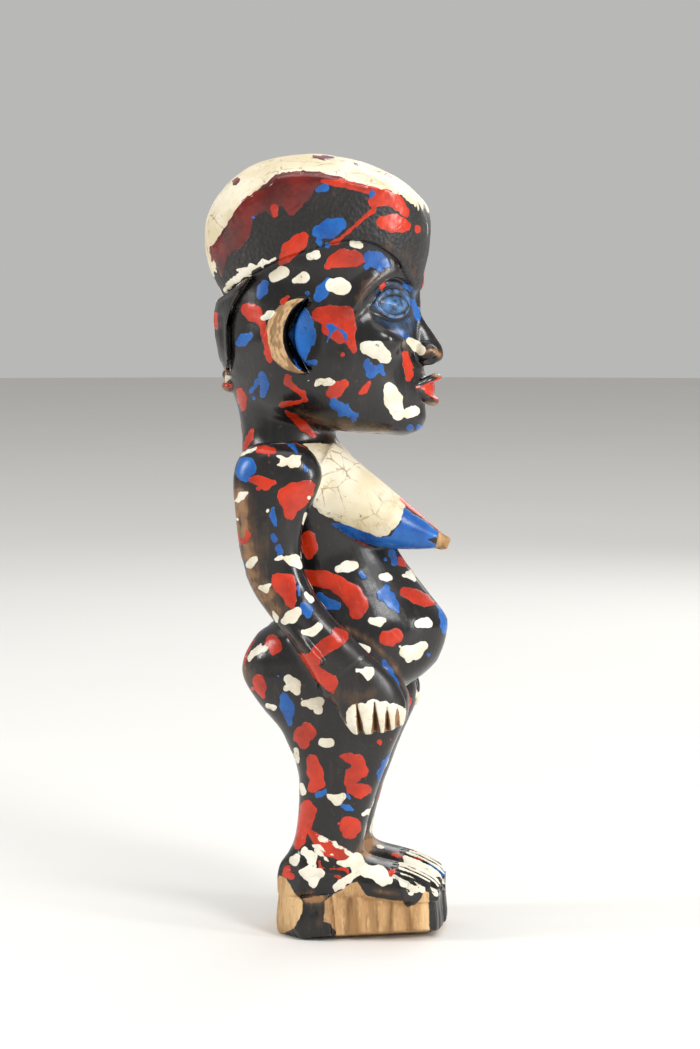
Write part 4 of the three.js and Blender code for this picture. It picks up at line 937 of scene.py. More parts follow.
    ("leg", "white", 0, [[-9.0, 51.6, 0.58], [-7.3, 50.6, 1.31], [-5.0, 49.8, 2.18], [-2.8, 51.0, 1.23]]),
    ("leg", "blue", 0, [[-3.5, 47.8, 0.73], [-1.0, 46.5, 0.94], [1.1, 45.8, 0.44]]),
    ("leg", "blue", 0, [[-1.3, 51.6, 0.65], [0.1, 50.2, 0.58]]),
    ("leg", "white", 0, [[5.4, 44.4, 0.8], [7.3, 45.1, 1.09], [9.2, 46.6, 0.51]]),
    ("leg", "red", 0, [[-0.9, 40.6, 2.76], [0.9, 39.3, 3.19], [-0.9, 36.3, 2.03]]),
    ("leg", "red", 0, [[-16.9, 46.9, 2.47], [-15.3, 45.4, 2.03], [-18.0, 42.4, 2.32], [-19.0, 38.0, 2.32], [-19.7, 33.6, 2.32], [-20.9, 30.7, 1.09]]),
    ("leg", "red", 1, [[11.3, 72.8, 0.73]]),
    ("leg", "red", 0, [[16.1, 73.8, 0.44]]),
    ("leg", "red", 0, [[-17.0, 43.1, 3.12], [-17.5, 39.5, 2.52], [-19.1, 35.3, 2.01], [-20.5, 32.2, 1.11]]),
    ("leg", "red", 0, [[-15.5, 36.4, 1.51], [-11.9, 32.9, 2.52], [-7.8, 30.0, 2.92], [-3.8, 28.5, 2.82], [-1.2, 27.0, 0.91]]),
    ("leg", "white", 0, [[-18.0, 28.7, 1.31], [-16.0, 27.7, 1.71], [-14.0, 26.7, 0.7]]),
    ("leg", "white", 0, [[-4.8, 24.9, 0.8], [-1.7, 24.5, 1.31], [2.3, 26.1, 2.82], [3.4, 23.6, 3.02], [6.4, 21.6, 2.31], [11.0, 21.2, 3.02], [13.0, 18.7, 2.62]]),
    ("leg", "white", 0, [[-3.8, 16.2, 2.01], [-5.3, 15.4, 1.41]]),
    ("leg", "red", 0, [[-12.2, 25.0, 0.5], [-11.7, 22.7, 0.6], [-7.8, 22.3, 0.3], [-3.8, 22.4, 0.4], [-1.2, 22.2, 0.7], [-0.5, 20.4, 0.5]]),
    ("leg", "red", 0, [[-5.8, 19.5, 0.7], [-4.3, 19.0, 0.7]]),
    ("leg", "red", 0, [[-2.2, 38.8, 2.11], [0.3, 39.4, 3.02], [0.3, 36.3, 2.21]]),
    ("leg", "red", 0, [[-4.4, 40.2, 0.6]]),
    ("leg", "white", 0, [[-22.1, 25.4, 1.81], [-20.9, 26.6, 1.11], [-21.6, 24.0, 0.8]]),
    ("leg", "white", 0, [[-18.6, 20.5, 1.71], [-15.5, 20.0, 3.22], [-11.9, 20.6, 1.71], [-14.7, 16.4, 1.81]]),
    ("leg", "red", 0, [[-24.7, 21.8, 1.41], [-25.2, 19.8, 1.31], [-22.7, 18.8, 1.01]]),
    ("leg", "red", 0, [[15.8, 20.8, 1.71], [17.6, 22.4, 0.7]]),
    ("leg", "white", 0, [[-14.7, 36.2, 0.2], [-10.9, 35.0, 0.25], [-5.8, 32.6, 0.3], [-1.7, 30.1, 0.35], [0.8, 28.1, 0.6]]),
    ("foot", "red", 0, [[-17.0, 43.1, 3.12], [-17.5, 39.5, 2.52], [-19.1, 35.3, 2.01], [-20.5, 32.2, 1.11]]),
    ("foot", "red", 0, [[-15.5, 36.4, 1.51], [-11.9, 32.9, 2.52], [-7.8, 30.0, 2.92], [-3.8, 28.5, 2.82], [-1.2, 27.0, 0.91]]),
    ("foot", "white", 0, [[-18.0, 28.7, 1.31], [-16.0, 27.7, 1.71], [-14.0, 26.7, 0.7]]),
    ("foot", "white", 0, [[-4.8, 24.9, 0.8], [-1.7, 24.5, 1.31], [2.3, 26.1, 2.82], [3.4, 23.6, 3.02], [6.4, 21.6, 2.31], [11.0, 21.2, 3.02], [13.0, 18.7, 2.62]]),
    ("foot", "white", 0, [[-3.8, 16.2, 2.01], [-5.3, 15.4, 1.41]]),
    ("foot", "red", 0, [[-12.2, 25.0, 0.5], [-11.7, 22.7, 0.6], [-7.8, 22.3, 0.3], [-3.8, 22.4, 0.4], [-1.2, 22.2, 0.7], [-0.5, 20.4, 0.5]]),
    ("foot", "red", 0, [[-5.8, 19.5, 0.7], [-4.3, 19.0, 0.7]]),
    ("foot", "red", 0, [[-2.2, 38.8, 2.11], [0.3, 39.4, 3.02], [0.3, 36.3, 2.21]]),
    ("foot", "red", 0, [[-4.4, 40.2, 0.6]]),
    ("foot", "white", 0, [[-22.1, 25.4, 1.81], [-20.9, 26.6, 1.11], [-21.6, 24.0, 0.8]]),
    ("foot", "white", 0, [[-18.6, 20.5, 1.71], [-15.5, 20.0, 3.22], [-11.9, 20.6, 1.71], [-14.7, 16.4, 1.81]]),
    ("foot", "red", 0, [[-24.7, 21.8, 1.41], [-25.2, 19.8, 1.31], [-22.7, 18.8, 1.01]]),
    ("foot", "red", 0, [[15.8, 20.8, 1.71], [17.6, 22.4, 0.7]]),
    ("foot", "white", 0, [[-14.7, 36.2, 0.2], [-10.9, 35.0, 0.25], [-5.8, 32.6, 0.3], [-1.7, 30.1, 0.35], [0.8, 28.1, 0.6]]),
    ("farfoot", "red", 0, [[18.1, 33.1, 0.4], [20.6, 32.8, 0.35]]),
    ("farfoot", "red", 0, [[16.6, 28.8, 0.6], [18.6, 28.1, 0.7], [21.1, 27.5, 0.4]]),
    ("farfoot", "red", 0, [[25.7, 27.7, 0.6], [27.7, 26.5, 0.65]]),
    ("leg", "white", 1, [[1.1, 26.5, 1.12], [3.9, 24.5, 1.87], [2.5, 20.9, 1.69], [-1.3, 17.9, 1.31], [-5.6, 15.4, 1.12]]),
    ("leg", "white", 0, [[7.7, 22.1, 1.87], [12.4, 20.9, 2.25], [15.6, 18.1, 1.31]]),
    ("leg", "white", 1, [[-17.4, 29.1, 1.5], [-14.9, 26.0, 1.69], [-13.7, 22.8, 0.75]]),
    ("leg", "white", 1, [[-16.0, 35.7, 0.19], [-9.4, 33.2, 0.37], [-3.7, 30.7, 0.47], [0.1, 27.5, 0.66]]),
    ("foot", "white", 1, [[1.1, 26.5, 1.12], [3.9, 24.5, 1.87], [2.5, 20.9, 1.69], [-1.3, 17.9, 1.31], [-5.6, 15.4, 1.12]]),
    ("foot", "white", 0, [[7.7, 22.1, 1.87], [12.4, 20.9, 2.25], [15.6, 18.1, 1.31]]),
    ("foot", "white", 1, [[-17.4, 29.1, 1.5], [-14.9, 26.0, 1.69], [-13.7, 22.8, 0.75]]),
    ("foot", "white", 1, [[-16.0, 35.7, 0.19], [-9.4, 33.2, 0.37], [-3.7, 30.7, 0.47], [0.1, 27.5, 0.66]]),
    ("head", "blue", 1, [[17.6, 233.1, 0.31], [19.9, 231.4, 0.63], [22.4, 229.8, 0.73]]),
    ("head", "blue", 1, [[24.2, 243.2, 1.05], [25.5, 240.3, 1.26], [26.1, 237.0, 0.73]]),
    ("head", "blue", 1, [[20.9, 249.5, 0.84], [23.0, 248.3, 0.84]]),
    ("head", "red", 1, [[12.0, 248.7, 0.63], [13.0, 249.7, 0.52]]),
    ("foot", "white", 1, [[17.2, 20.3, 0.75], [20.9, 17.5, 1.12], [25.7, 14.6, 0.94], [28.0, 15.3, 0.75]]),
    ("ear", "blue", 0, [[-17.9, 243.1, 0.46], [-18.2, 241.0, 0.81], [-18.8, 239.0, 1.12], [-17.7, 236.5, 1.01]]),
    ("ear", "blue", 1, [[-19.2, 220.9, 0.71], [-17.0, 219.8, 0.51], [-13.7, 220.0, 0.61]]),
    ("ear", "blue", 0, [[-20.7, 220.4, 0.25], [-19.7, 218.0, 0.46]]),
    ("ear", "blue", 1, [[-15.2, 234.5, 0.71], [-14.4, 233.0, 0.61], [-14.7, 227.5, 0.91]]),
    ("leg", "white", 1, [[-16.5, 31.8, 0.19], [-12.2, 31.0, 0.23], [-8.4, 28.2, 0.23], [-4.6, 26.4, 0.28]]),
    ("leg", "white", 1, [[-14.6, 35.5, 0.19], [-9.4, 33.7, 0.19], [-3.7, 30.2, 0.23], [0.1, 27.5, 0.37]]),
    ("leg", "white", 1, [[-13.2, 29.8, 0.19], [-9.4, 26.3, 0.23], [-6.5, 23.0, 0.28]]),
    ("foot", "white", 1, [[-16.5, 31.8, 0.19], [-12.2, 31.0, 0.23], [-8.4, 28.2, 0.23], [-4.6, 26.4, 0.28]]),
    ("foot", "white", 1, [[-14.6, 35.5, 0.19], [-9.4, 33.7, 0.19], [-3.7, 30.2, 0.23], [0.1, 27.5, 0.37]]),
    ("foot", "white", 1, [[-13.2, 29.8, 0.19], [-9.4, 26.3, 0.23], [-6.5, 23.0, 0.28]]),
]
# larger coats, as outlines in the same side elevation
BREAST_CREAM = [[-18.8, 189.5], [-15.6, 190.9], [-12.4, 191.7], [-4.5, 193.1], [9.7, 184.0], [22.2, 170.0], [21.5, 164.0], [20.5, 160.8], [18.3, 157.5], [15.8, 155.0], [14.9, 153.2], [11.5, 152.7], [6.2, 154.1], [1.9, 155.9], [-1.3, 156.6], [-4.5, 158.5], [-8.8, 160.1], [-12.3, 162.6], [-14.6, 164.7], [-13.5, 172.5], [-11.7, 175.4], [-12.8, 177.8], [-15.2, 180.7], [-16.8, 184.2], [-16.0, 186.7]]
BREAST_RED_TOP = [[19.0, 167.6], [21.1, 165.3], [29.6, 159.2], [35.4, 154.5], [38.1, 153.4], [40.3, 155.3], [33.2, 164.4], [23.9, 172.1]]
BREAST_BLUE = [[21.0, 164.5], [29.6, 158.9], [35.4, 154.1], [33.5, 153.0], [30.3, 152.0], [34.6, 149.9], [35.5, 147.4], [27.5, 146.6], [14.0, 148.6], [6.9, 150.0], [-0.3, 152.7], [-6.0, 155.9], [-9.4, 157.7], [-4.5, 158.4], [1.9, 156.2], [11.5, 152.7], [15.8, 153.6], [19.7, 158.6]]
BREAST_RED_UNDER = [[-12.4, 160.1], [-8.8, 157.6], [-4.5, 155.4], [1.2, 152.2], [6.9, 149.6], [12.2, 147.2], [12.2, 144.9], [6.9, 146.0], [-0.3, 149.9], [-7.4, 154.1], [-11.7, 157.0]]
HAND_CREAM = [[-2.0, 80.4], [-1.6, 83.2], [-0.4, 86.0], [1.8, 87.5], [3.9, 87.9], [6.0, 87.3], [8.0, 89.0], [11.1, 89.5], [13.7, 88.3], [15.7, 87.8], [18.4, 87.6], [19.8, 86.0], [21.9, 85.1], [22.6, 78.7], [11.0, 74.1], [0.7, 73.9]]
RAW_SIDE = [[-9.9, 9.4], [-6.8, 12.0], [-3.8, 13.9], [0.3, 16.7], [2.8, 17.5], [4.5, 14.8], [6.7, 11.9], [13.5, 10.9], [20.6, 10.2], [22.3, 7.9], [25.2, 8.9], [28.1, 11.4], [29.0, 14.4], [30.8, 14.2], [31.5, -5.9], [23.7, -7.2], [3.4, -8.3], [-6.6, -8.5], [-5.8, -2.9], [-7.9, 0.7], [-10.4, 1.1]]
RAW_CORNER = [[-30.9, 12.4], [-28.0, 19.2], [-25.7, 18.4], [-23.9, 15.7], [-21.9, 12.5], [-19.9, 10.5], [-18.5, 8.6], [-19.0, 4.0], [-22.2, -1.8], [-27.8, -5.0], [-31.4, -2.0]]
# coats with an outline of their own: regions, colour, outline, raggedness
COATS = [
    ((3,), "maroon", [[-53.9, 264.0], [-51.6, 256.2], [-48.5, 256.8], [-47.6, 261.9], [-42.4, 264.0], [-38.7, 269.7], [-37.6, 275.3], [-35.8, 278.2], [-32.7, 278.2], [-29.7, 275.1], [-27.9, 275.8], [-28.1, 279.2], [-26.4, 279.8], [-24.0, 277.4], [-21.2, 278.2], [-19.1, 281.3], [-17.7, 284.5], [-14.0, 286.1], [-10.9, 287.6], [-15.1, 292.7], [-28.7, 291.8], [-33.9, 286.1], [-41.2, 281.5], [-46.5, 274.3]], 0.8),
    ((5, 6), "red", [[-22.5, 107.1], [-18.0, 106.7], [-15.7, 107.2], [-14.2, 109.7], [-10.8, 112.6], [-7.3, 114.7], [-5.8, 117.5], [-3.2, 117.1], [-0.9, 115.4], [-0.5, 113.1], [-2.4, 111.0], [-7.3, 107.7], [-11.5, 104.9], [-12.1, 102.4], [-10.4, 100.7], [-7.5, 98.9], [-5.2, 98.5], [-4.7, 95.9], [-5.8, 92.7], [-8.1, 92.1], [-10.9, 94.4], [-14.9, 97.8], [-19.3, 102.9]], 0.9),
    ((5,), "red", [[-30.3, 137.7], [-26.4, 138.0], [-22.0, 137.2], [-21.0, 132.0], [-21.2, 126.7], [-22.5, 124.2], [-25.2, 125.8], [-26.5, 128.8], [-30.1, 131.7], [-30.7, 135.0]], 0.8),
    ((5,), "red", [[-27.9, 170.3], [-25.1, 172.0], [-19.0, 173.5], [-15.3, 174.4], [-13.5, 172.8], [-14.2, 168.6], [-17.5, 164.6], [-21.1, 161.8], [-24.3, 159.0], [-25.8, 160.3], [-26.4, 164.5], [-28.3, 167.6]], 0.7),
    ((6,), "white", [[1.8, 101.7], [3.5, 101.5], [5.1, 101.4], [5.9, 102.2], [7.8, 102.3], [9.2, 102.2], [9.6, 101.0], [9.4, 99.2], [8.0, 97.5], [6.9, 96.4], [5.9, 97.6], [4.8, 99.3], [3.6, 100.0], [2.3, 99.9]], 0.5),
]
# rubbed places: line in the side elevation, reach in mm, amount, regions
WEAR = [
    ([[-44.0, 168.7], [-42.2, 158.7], [-40.4, 149.4], [-37.9, 140.1], [-34.0, 131.6], [-29.7, 124.5]], 5.4, 1.45, (5,)),
    ([[-33.2, 160.2], [-33.2, 148.8]], 2.4, 0.55, (5,)),
    ([[-27.6, 115.2], [-23.2, 110.9], [-17.5, 107.4]], 2.2, 0.5, (5,)),
    ([[-5.1, 92.1], [0.7, 89.3], [7.3, 91.6]], 3.4, 0.9, (6,)),
    ([[-7.3, 89.1], [-3.7, 82.6], [-0.7, 79.0]], 0.9, 0.7, (6,)),
    ([[-11.9, 7.8], [-11.9, 1.1]], 3.4, 0.9, (12,)),
    ([[-17.1, 9.2], [-10.9, 10.4]], 1.6, 0.9, (12,)),
    ([[-1.0, 116.9], [8.3, 112.0], [15.5, 105.1], [20.6, 96.6]], 1.7, 1.2, (4, 8)),
    ([[-41.7, 101.7], [-40.6, 98.8], [-39.2, 96.3]], 2.6, 1.0, (8,)),
    ([[24.1, 82.4], [21.2, 73.6], [17.2, 63.2], [13.2, 53.6], [9.7, 42.5], [8.1, 34.3]], 1.0, 1.2, (8,)),
    ([[6.9, 34.9], [5.4, 31.8], [3.9, 29.2]], 2.6, 1.6, (8, 9)),
    ([[6.4, 32.4], [11.0, 30.9], [7.4, 28.8], [13.5, 30.0]], 2.8, 1.3, (9,)),
    ([[-19.6, 11.2], [-15.5, 11.8], [-11.9, 10.9]], 1.8, 1.0, (9, 12)),
    ([[9.5, 14.0], [18.6, 13.2]], 1.4, 1.0, (9,)),
    ([[-20.7, 200.6], [-9.8, 196.7], [-2.6, 195.1], [6.5, 193.5], [15.5, 192.3]], 2.4, 1.0, (1,)),
    ([[6.4, 251.0], [3.9, 244.8], [6.4, 238.5]], 2.4, 0.75, (1,)),
    ([[9.1, 251.9], [15.4, 256.2], [21.3, 255.5]], 1.8, 0.6, (1,)),
    ([[13.6, 266.2], [20.8, 261.7], [25.5, 253.7]], 2.2, 0.55, (1, 3)),
    ([[10.8, 239.9], [14.6, 237.5], [19.9, 237.4]], 0.9, 1.0, (1,)),
    ([[10.5, 244.8], [13.6, 247.5], [19.5, 248.2]], 0.8, 0.8, (1,)),
    ([[29.4, 224.3], [32.5, 224.9], [34.5, 223.3]], 1.4, 1.5, (1,)),
    ([[28.1, 216.3], [34.9, 214.9]], 0.7, 1.6, (1,)),
    ([[27.7, 205.1], [33.1, 204.1]], 0.8, 1.2, (1,)),
    ([[-8.0, 192.7], [-6.7, 188.7]], 2.4, 0.8, (2,)),
    ([[-11.7, 194.5], [-15.3, 190.9]], 1.5, 0.8, (2, 1)),
]

ratio = (0 - EYE[0]) / (V[:, 0] - EYE[0])
SE = EYE[None, 1:] + (V[:, 1:] - EYE[None, 1:]) * ratio[:, None]  # side elevation of each point
mirror = V * np.array([-1, 1, 1])
ratio_m = (0 - EYE[0]) / (mirror[:, 0] - EYE[0])
SEM = EYE[None, 1:] + (mirror[:, 1:] - EYE[None, 1:]) * ratio_m[:, None]
toward = EYE - V
toward /= np.linalg.norm(toward, axis=1, keepdims=True)
facing = np.einsum("ij,ij->i", toward, N)
wobble = 0.35 * noise[0](V, 2.6) + 0.22 * noise[1](V, 1.2)


def chain(pts, u, v):
    pts = np.asarray(pts, float)
    if len(pts) == 1:
        return np.hypot(u - pts[0, 0], v - pts[0, 1]) - pts[0, 2]
    best = np.full(len(u), 1e9)
    for a, b in zip(pts[:-1], pts[1:]):
        w = b[:2] - a[:2]
        t = np.clip(((u - a[0]) * w[0] + (v - a[1]) * w[1]) / (w @ w + 1e-9), 0, 1)
        d = np.hypot(u - a[0] - t * w[0], v - a[1] - t * w[1]) - (a[2] + t * (b[2] - a[2]))
        h = np.maximum(0.8 - np.abs(best - d), 0)
        best = np.minimum(best, d) - h * h / 3.2
    return best


LAYERS = ("maroon", "red", "blue", "white")
CLIP = 3.0
coat = {k: np.full(len(V), CLIP) for k in LAYERS}  # signed distance in mm, negative under paint
GROUPS = {
    "head": {1, 2, 3, 10, 11}, "body": {2, 4, 5, 7}, "arm": {5, 6}, "torso": {4, 7}, "leg": {8, 9}, "foot": {9, 12}, "hand": {6}, "ear": {1, 10},
    "breast": {7}, "near": {4, 5, 2}, "farfoot": {9},
}
for group, colour, rough, pts in DABS:
    pts = np.asarray(pts, float)
    r = pts[:, 2].max() + CLIP + 1
    near = (np.abs(SE[:, 0] - (pts[:, 0].max() + pts[:, 0].min()) / 2) < np.ptp(pts[:, 0]) / 2 + r) & (np.abs(SE[:, 1] - (pts[:, 1].max() + pts[:, 1].min()) / 2) < np.ptp(pts[:, 1]) / 2 + r)
    near &= np.isin(vl, list(GROUPS[group])) if group not in ("farfoot", "torso", "head") else np.isin(base, list(GROUPS[group]))
    near &= facing > -0.02
    if group in ("head", "torso"):
        near &= V[:, 0] < 8
    if colour == "white":
        near &= (base != 11) | (facing > 0.3)
    i = np.nonzero(near)[0]
    if not len(i):
        continue
    d = chain(pts, SE[i, 0], SE[i, 1]) + wobble[i] * (1.0 + 1.6 * rough)
    d = np.maximum(d, (0.12 - facing[i]) * 9 + 1.3 * wobble[i])
    coat[colour][i] = np.minimum(coat[colour][i], d)

for kinds, colour, outline, ragged in COATS:
    pts = np.asarray(outline, float)
    lo2, hi2 = pts.min(0) - 5, pts.max(0) + 5
    near = np.isin(vl, kinds) & (facing > 0) & (V[:, 0] < 8) & (SE[:, 0] > lo2[0]) & (SE[:, 0] < hi2[0]) & (SE[:, 1] > lo2[1]) & (SE[:, 1] < hi2[1])
    i = np.nonzero(near)[0]
    if not len(i):
        continue
    d = polygon(pts, SE[i, 0], SE[i, 1]) + wobble[i] * ragged
    d = np.maximum(d, (0.10 - facing[i]) * 9)
    coat[colour][i] = np.minimum(coat[colour][i], d)
# the dark red enamel that ran down from the crown stops at the crown's edge, and only on this side
i = np.nonzero((base == 3) & (V[:, 0] < 4))[0]
over = plane_line(catmull(RIM, 70), V[i, 1], V[i, 2])
strip = np.maximum(np.maximum(over - 0.9, -over - 2.6), np.maximum(V[i, 1] - 2, -V[i, 1] - 47)) + 1.0 * wobble[i] + 0.5 * noise[4](V[i], 1.9)
coat["maroon"][i] = np.minimum(coat["maroon"][i], strip)
strip = np.maximum(np.maximum(over - 0.5, -over - 1.3), np.maximum(V[i, 1] - 20, -V[i, 1] + 0)) + 0.9 * wobble[i] + 0.3
coat["red"][i] = np.minimum(coat["red"][i], strip)

# the sides that this viewpoint doesn't reach carry dabs of the same kinds and sizes
unseen = (facing < 0.12) | ((V[:, 0] > 4) & ~np.isin(base, [7])) | (np.isin(vl, [4]) & (V[:, 0] < -14) & (SE[:, 0] < -21) & (SE[:, 1] < 178))
paintable = np.isin(base, [1, 2, 3, 4, 5, 6, 8, 9, 11]) & unseen
paintable &= ~((base == 3) & (plane_line(RIM, V[:, 1], V[:, 2]) > -4))
paintable &= ~((base == 1) & (V[:, 1] > 22) & (np.abs(V[:, 0]) < 12) & (V[:, 2] < 232))
paintable &= ~((base == 1) & (np.linalg.norm(V - eye * np.array([-1, 1, 1]), axis=1) < 12.5))
paintable &= (np.minimum.reduce([coat[k] for k in LAYERS]) > 2.2)
rng = np.random.default_rng(SEED + 5)
cand = np.nonzero(paintable)[0]
rng.shuffle(cand)
seeds, cells = [], {}
for i in cand[:60000]:
    p = V[i]
    gap = 9.6 if base[i] not in (3,) else 13.5
    c = tuple((p // 10).astype(int))
    hit = False
    for dx in (-2, -1, 0, 1, 2):
        for dy in (-2, -1, 0, 1, 2):
            for dz in (-2, -1, 0, 1, 2):
                for q in cells.get((c[0] + dx, c[1] + dy, c[2] + dz), ()):
                    if np.linalg.norm(q - p) < gap:
                        hit = True
    if hit:
        continue
    cells.setdefault(c, []).append(p)
    seeds.append(i)
for n_seed, i in enumerate(seeds):
    p, n = V[i], N[i]
    up = np.array([0, 0, 1.0]) - n * n[2]
    if np.linalg.norm(up) < 0.2:
        up = np.array([0, 1.0, 0]) - n * n[1]
    up /= np.linalg.norm(up)
    side = np.cross(up, n)
    turn = rng.uniform(0, np.pi)
    a_dir = side * np.cos(turn) + up * np.sin(turn)
    b_dir = np.cross(n, a_dir)
    length = rng.choice([0, 1.2, 2.2, 3.4, 5.5], p=[0.12, 0.26, 0.32, 0.22, 0.08])
    r0 = rng.uniform(1.25, 2.5)
    steps = np.linspace(-1, 1, 4)
    bow = rng.uniform(-1.2, 1.2)
    pts = [(s * length, bow * (s * s - 0.5) * min(length / 3, 1), r0 * rng.uniform(0.72, 1.1)) for s in steps]
    colour = rng.choice(["red", "blue", "white"], p=[0.36, 0.26, 0.38])
    reach = length + r0 + CLIP + 1
    j = np.nonzero((np.abs(V - p) < reach).all(1))[0]
    j = j[(np.einsum("ij,ij->i", V[j] - p, V[j] - p) < reach * reach) & (N[j] @ n > 0.25)]
    j = j[unseen[j] & (base[j] != 7) & (base[j] != 10) & (base[j] != 12)]
    q = V[j] - p
    d = chain(pts, q @ a_dir, q @ b_dir) + wobble[j] * rng.choice([1.0, 2.0])
    d = np.maximum(d, np.abs(q @ n) - 5)
    coat[colour][j] = np.minimum(coat[colour][j], d)
note(f"dabs: {len(DABS)} placed, {len(seeds)} on the unseen sides")

cavity = np.clip(-spread(np.einsum("ij,ij->i", V - spread(V, 6, 0.6), N), 1) / 0.15 - 0.3, 0, 2)

# ---- areas: cream crown, breasts, fingers, toes; bare wood; lips; ears ----
cream = np.full(len(V), CLIP)
wood = np.full(len(V), CLIP)
m = base == 3
cream[m] = -plane_line(catmull(RIM, 70), V[m, 1], V[m, 2]) + 1.4 * wobble[m] + 0.8 * noise[2](V[m], 5.0) + 0.9 * noise[4](V[m], 1.9)
ORTHO = np.where((V[:, 0] < 0)[:, None], SE, SEM)
m = base == 7
i = np.nonzero((base == 7) | ((base == 4) & (V[:, 1] > -21) & (V[:, 2] > 158)) | ((base == 2) & (V[:, 1] > -8) & (V[:, 2] < 189)))[0]
o = ORTHO[i]
tone = 0.5 * wobble[i] + 0.4 * noise[2](V[i], 4.0)
cream[i] = polygon(BREAST_CREAM, o[:, 0], o[:, 1]) + tone
i = np.nonzero(base == 7)[0]
o = ORTHO[i]
tone = 0.4 * wobble[i]
coat["blue"][i] = np.minimum(coat["blue"][i], polygon(BREAST_BLUE, o[:, 0], o[:, 1]) + 2.2 * tone)
coat["red"][i] = np.minimum(coat["red"][i], np.minimum(polygon(BREAST_RED_TOP, o[:, 0], o[:, 1]), polygon(BREAST_RED_UNDER, o[:, 0], o[:, 1])) + tone)
tip = 34.9 - V[i, 1] + 2.0 * tone + 0.25 * (V[i, 2] - 152)
wood[i] = np.clip(tip, -2, 2)
coat["blue"][i] = np.maximum(coat["blue"][i], -tip - 0.1)
coat["red"][i] = np.maximum(coat["red"][i], -tip - 0.6)
# fingers and toes
m = base == 6
o = ORTHO[m]
coat["white"][m] = np.minimum(coat["white"][m], np.maximum(polygon(HAND_CREAM, o[:, 0], o[:, 1]) - 0.3 + 2.6 * wobble[m] + 0.6 * cavity[m], 0.12 + 0.5 * wobble[m] - np.minimum.reduce([polygon(g, o[:, 0], o[:, 1]) for g in GAPS])))
m = base == 9
toe = np.maximum(21.4 - V[m, 1] + 1.6 * noise[2](V[m], 3.0) + 0.12 * (V[m, 0] * np.where(V[m, 0] < 0, -1, 1) - 14), (0.30 - N[m, 2]) * 5)
coat["white"][m] = np.minimum(coat["white"][m], toe + 0.6 * wobble[m] + 7.0 * cavity[m])
m = base == 10
flat = (np.abs(N[:, 0]) > 0.80) & m
wood_in = np.where(flat, -1.5, np.where(m & (np.sqrt((V[:, 1] + 4.9) ** 2 + (V[:, 2] - 231) ** 2) > 17.2), 0.5, 1.0))
wood[m] = spread(wood_in, 2)[m]
# the block is bare but for the drips that ran over it
m = base == 12
o = SE[m]
p = V[m]
raw = np.minimum(polygon(RAW_SIDE, o[:, 0], o[:, 1]), polygon(RAW_CORNER, o[:, 0], o[:, 1]))
near = (p[:, 0] < -8) & (facing[m] > -0.1)
others = 0.9 - 2.6 * np.abs(noise[2](p, (9, 9, 30))) * 2.0 + 0.4 * wobble[m]
others = np.where((p[:, 1] > 30) & (p[:, 0] < 12), 1.6, others)
others = np.where(N[m, 2] > 0.6, 2.0, others)
others = np.where(N[m, 2] < -0.5, -1.5, others)
wood[m] = np.clip(np.where(near, raw + 0.5 * wobble[m], others), -2, 2)
i = np.nonzero((base == 9) & (V[:, 0] < -8) & (facing > -0.1))[0]
wood[i] = np.clip(np.minimum(polygon(RAW_SIDE, SE[i, 0], SE[i, 1]), polygon(RAW_CORNER, SE[i, 0], SE[i, 1])) + 0.4 * wobble[i], -2, 2)
for k in LAYERS:
    coat[k] = np.maximum(coat[k], np.where((base == 12), 0.6 - wood, -9))
# lips: red between their brown edges
m = (base == 1) & (V[:, 1] > 25.0) & (np.abs(V[:, 0]) < 11) & (np.abs(V[:, 2] - 210) < 8)
ax = np.abs(V[m, 0])
hi = np.interp(ax, [0, 4.2, 7.4, 9.7], [214.9, 214.6, 213.2, 211.6])
lo = np.interp(ax, [0, 4, 7, 9.5], [204.9, 205.6, 207.7, 210.4])
red = np.maximum(np.maximum(V[m, 2] - hi, lo - V[m, 2]), (np.interp(ax, [0, 6, 9.7], [28.8, 27.8, 26.0]) - V[m, 1]))
coat["red"][m] = np.where(red < 0, np.minimum(red * 1.6 - 0.2, 0), np.maximum(np.minimum(coat["red"][m], 3), red))
# a thin blue wash over the eye, its lids and the side of the nose
WASH = [(7.6, 242.6), (9.6, 246.6), (13.6, 249.8), (18.6, 250.2), (23.0, 247.6), (26.6, 247.6), (27.2, 240), (25.6, 233.4), (22.2, 229.4), (18.0, 231.0), (15.2, 234.0), (10.4, 236.6)]
wash = np.zeros(len(V))
i = np.nonzero((base == 1) & (V[:, 1] > 2) & (V[:, 2] > 224))[0]
beyond = EYE * np.array([-1, 1, 1]) - V[i]
beyond /= np.linalg.norm(beyond, axis=1, keepdims=True)
seen = np.where(V[i, 0] < 0, facing[i], np.einsum("ij,ij->i", beyond, N[i]))
wash[i] = 0.50 * np.clip(0.5 - polygon(WASH, ORTHO[i, 0], ORTHO[i, 1]) / 2.2, 0, 1) * np.clip((seen + 0.05) * 4, 0, 1) * np.clip((np.abs(V[i, 0]) - 1.5) / 5, 0, 1)
ridge = np.einsum("ij,ij->i", V - spread(V, 5, 0.6), N)
wash[i] *= np.clip(0.75 + ridge[i] / 0.07, 0.05, 1.9)
q = np.stack([-np.abs(V[i, 0]), V[i, 1], V[i, 2]], -1) - eye
ball = np.hypot((q @ et) / 6.6, q[:, 2] / 3.1) - 1
wash[i] = np.where((ball < 0.1) & (seen > 0), np.maximum(wash[i], np.clip(0.5 - ball * 3, 0, 1.15)), wash[i])

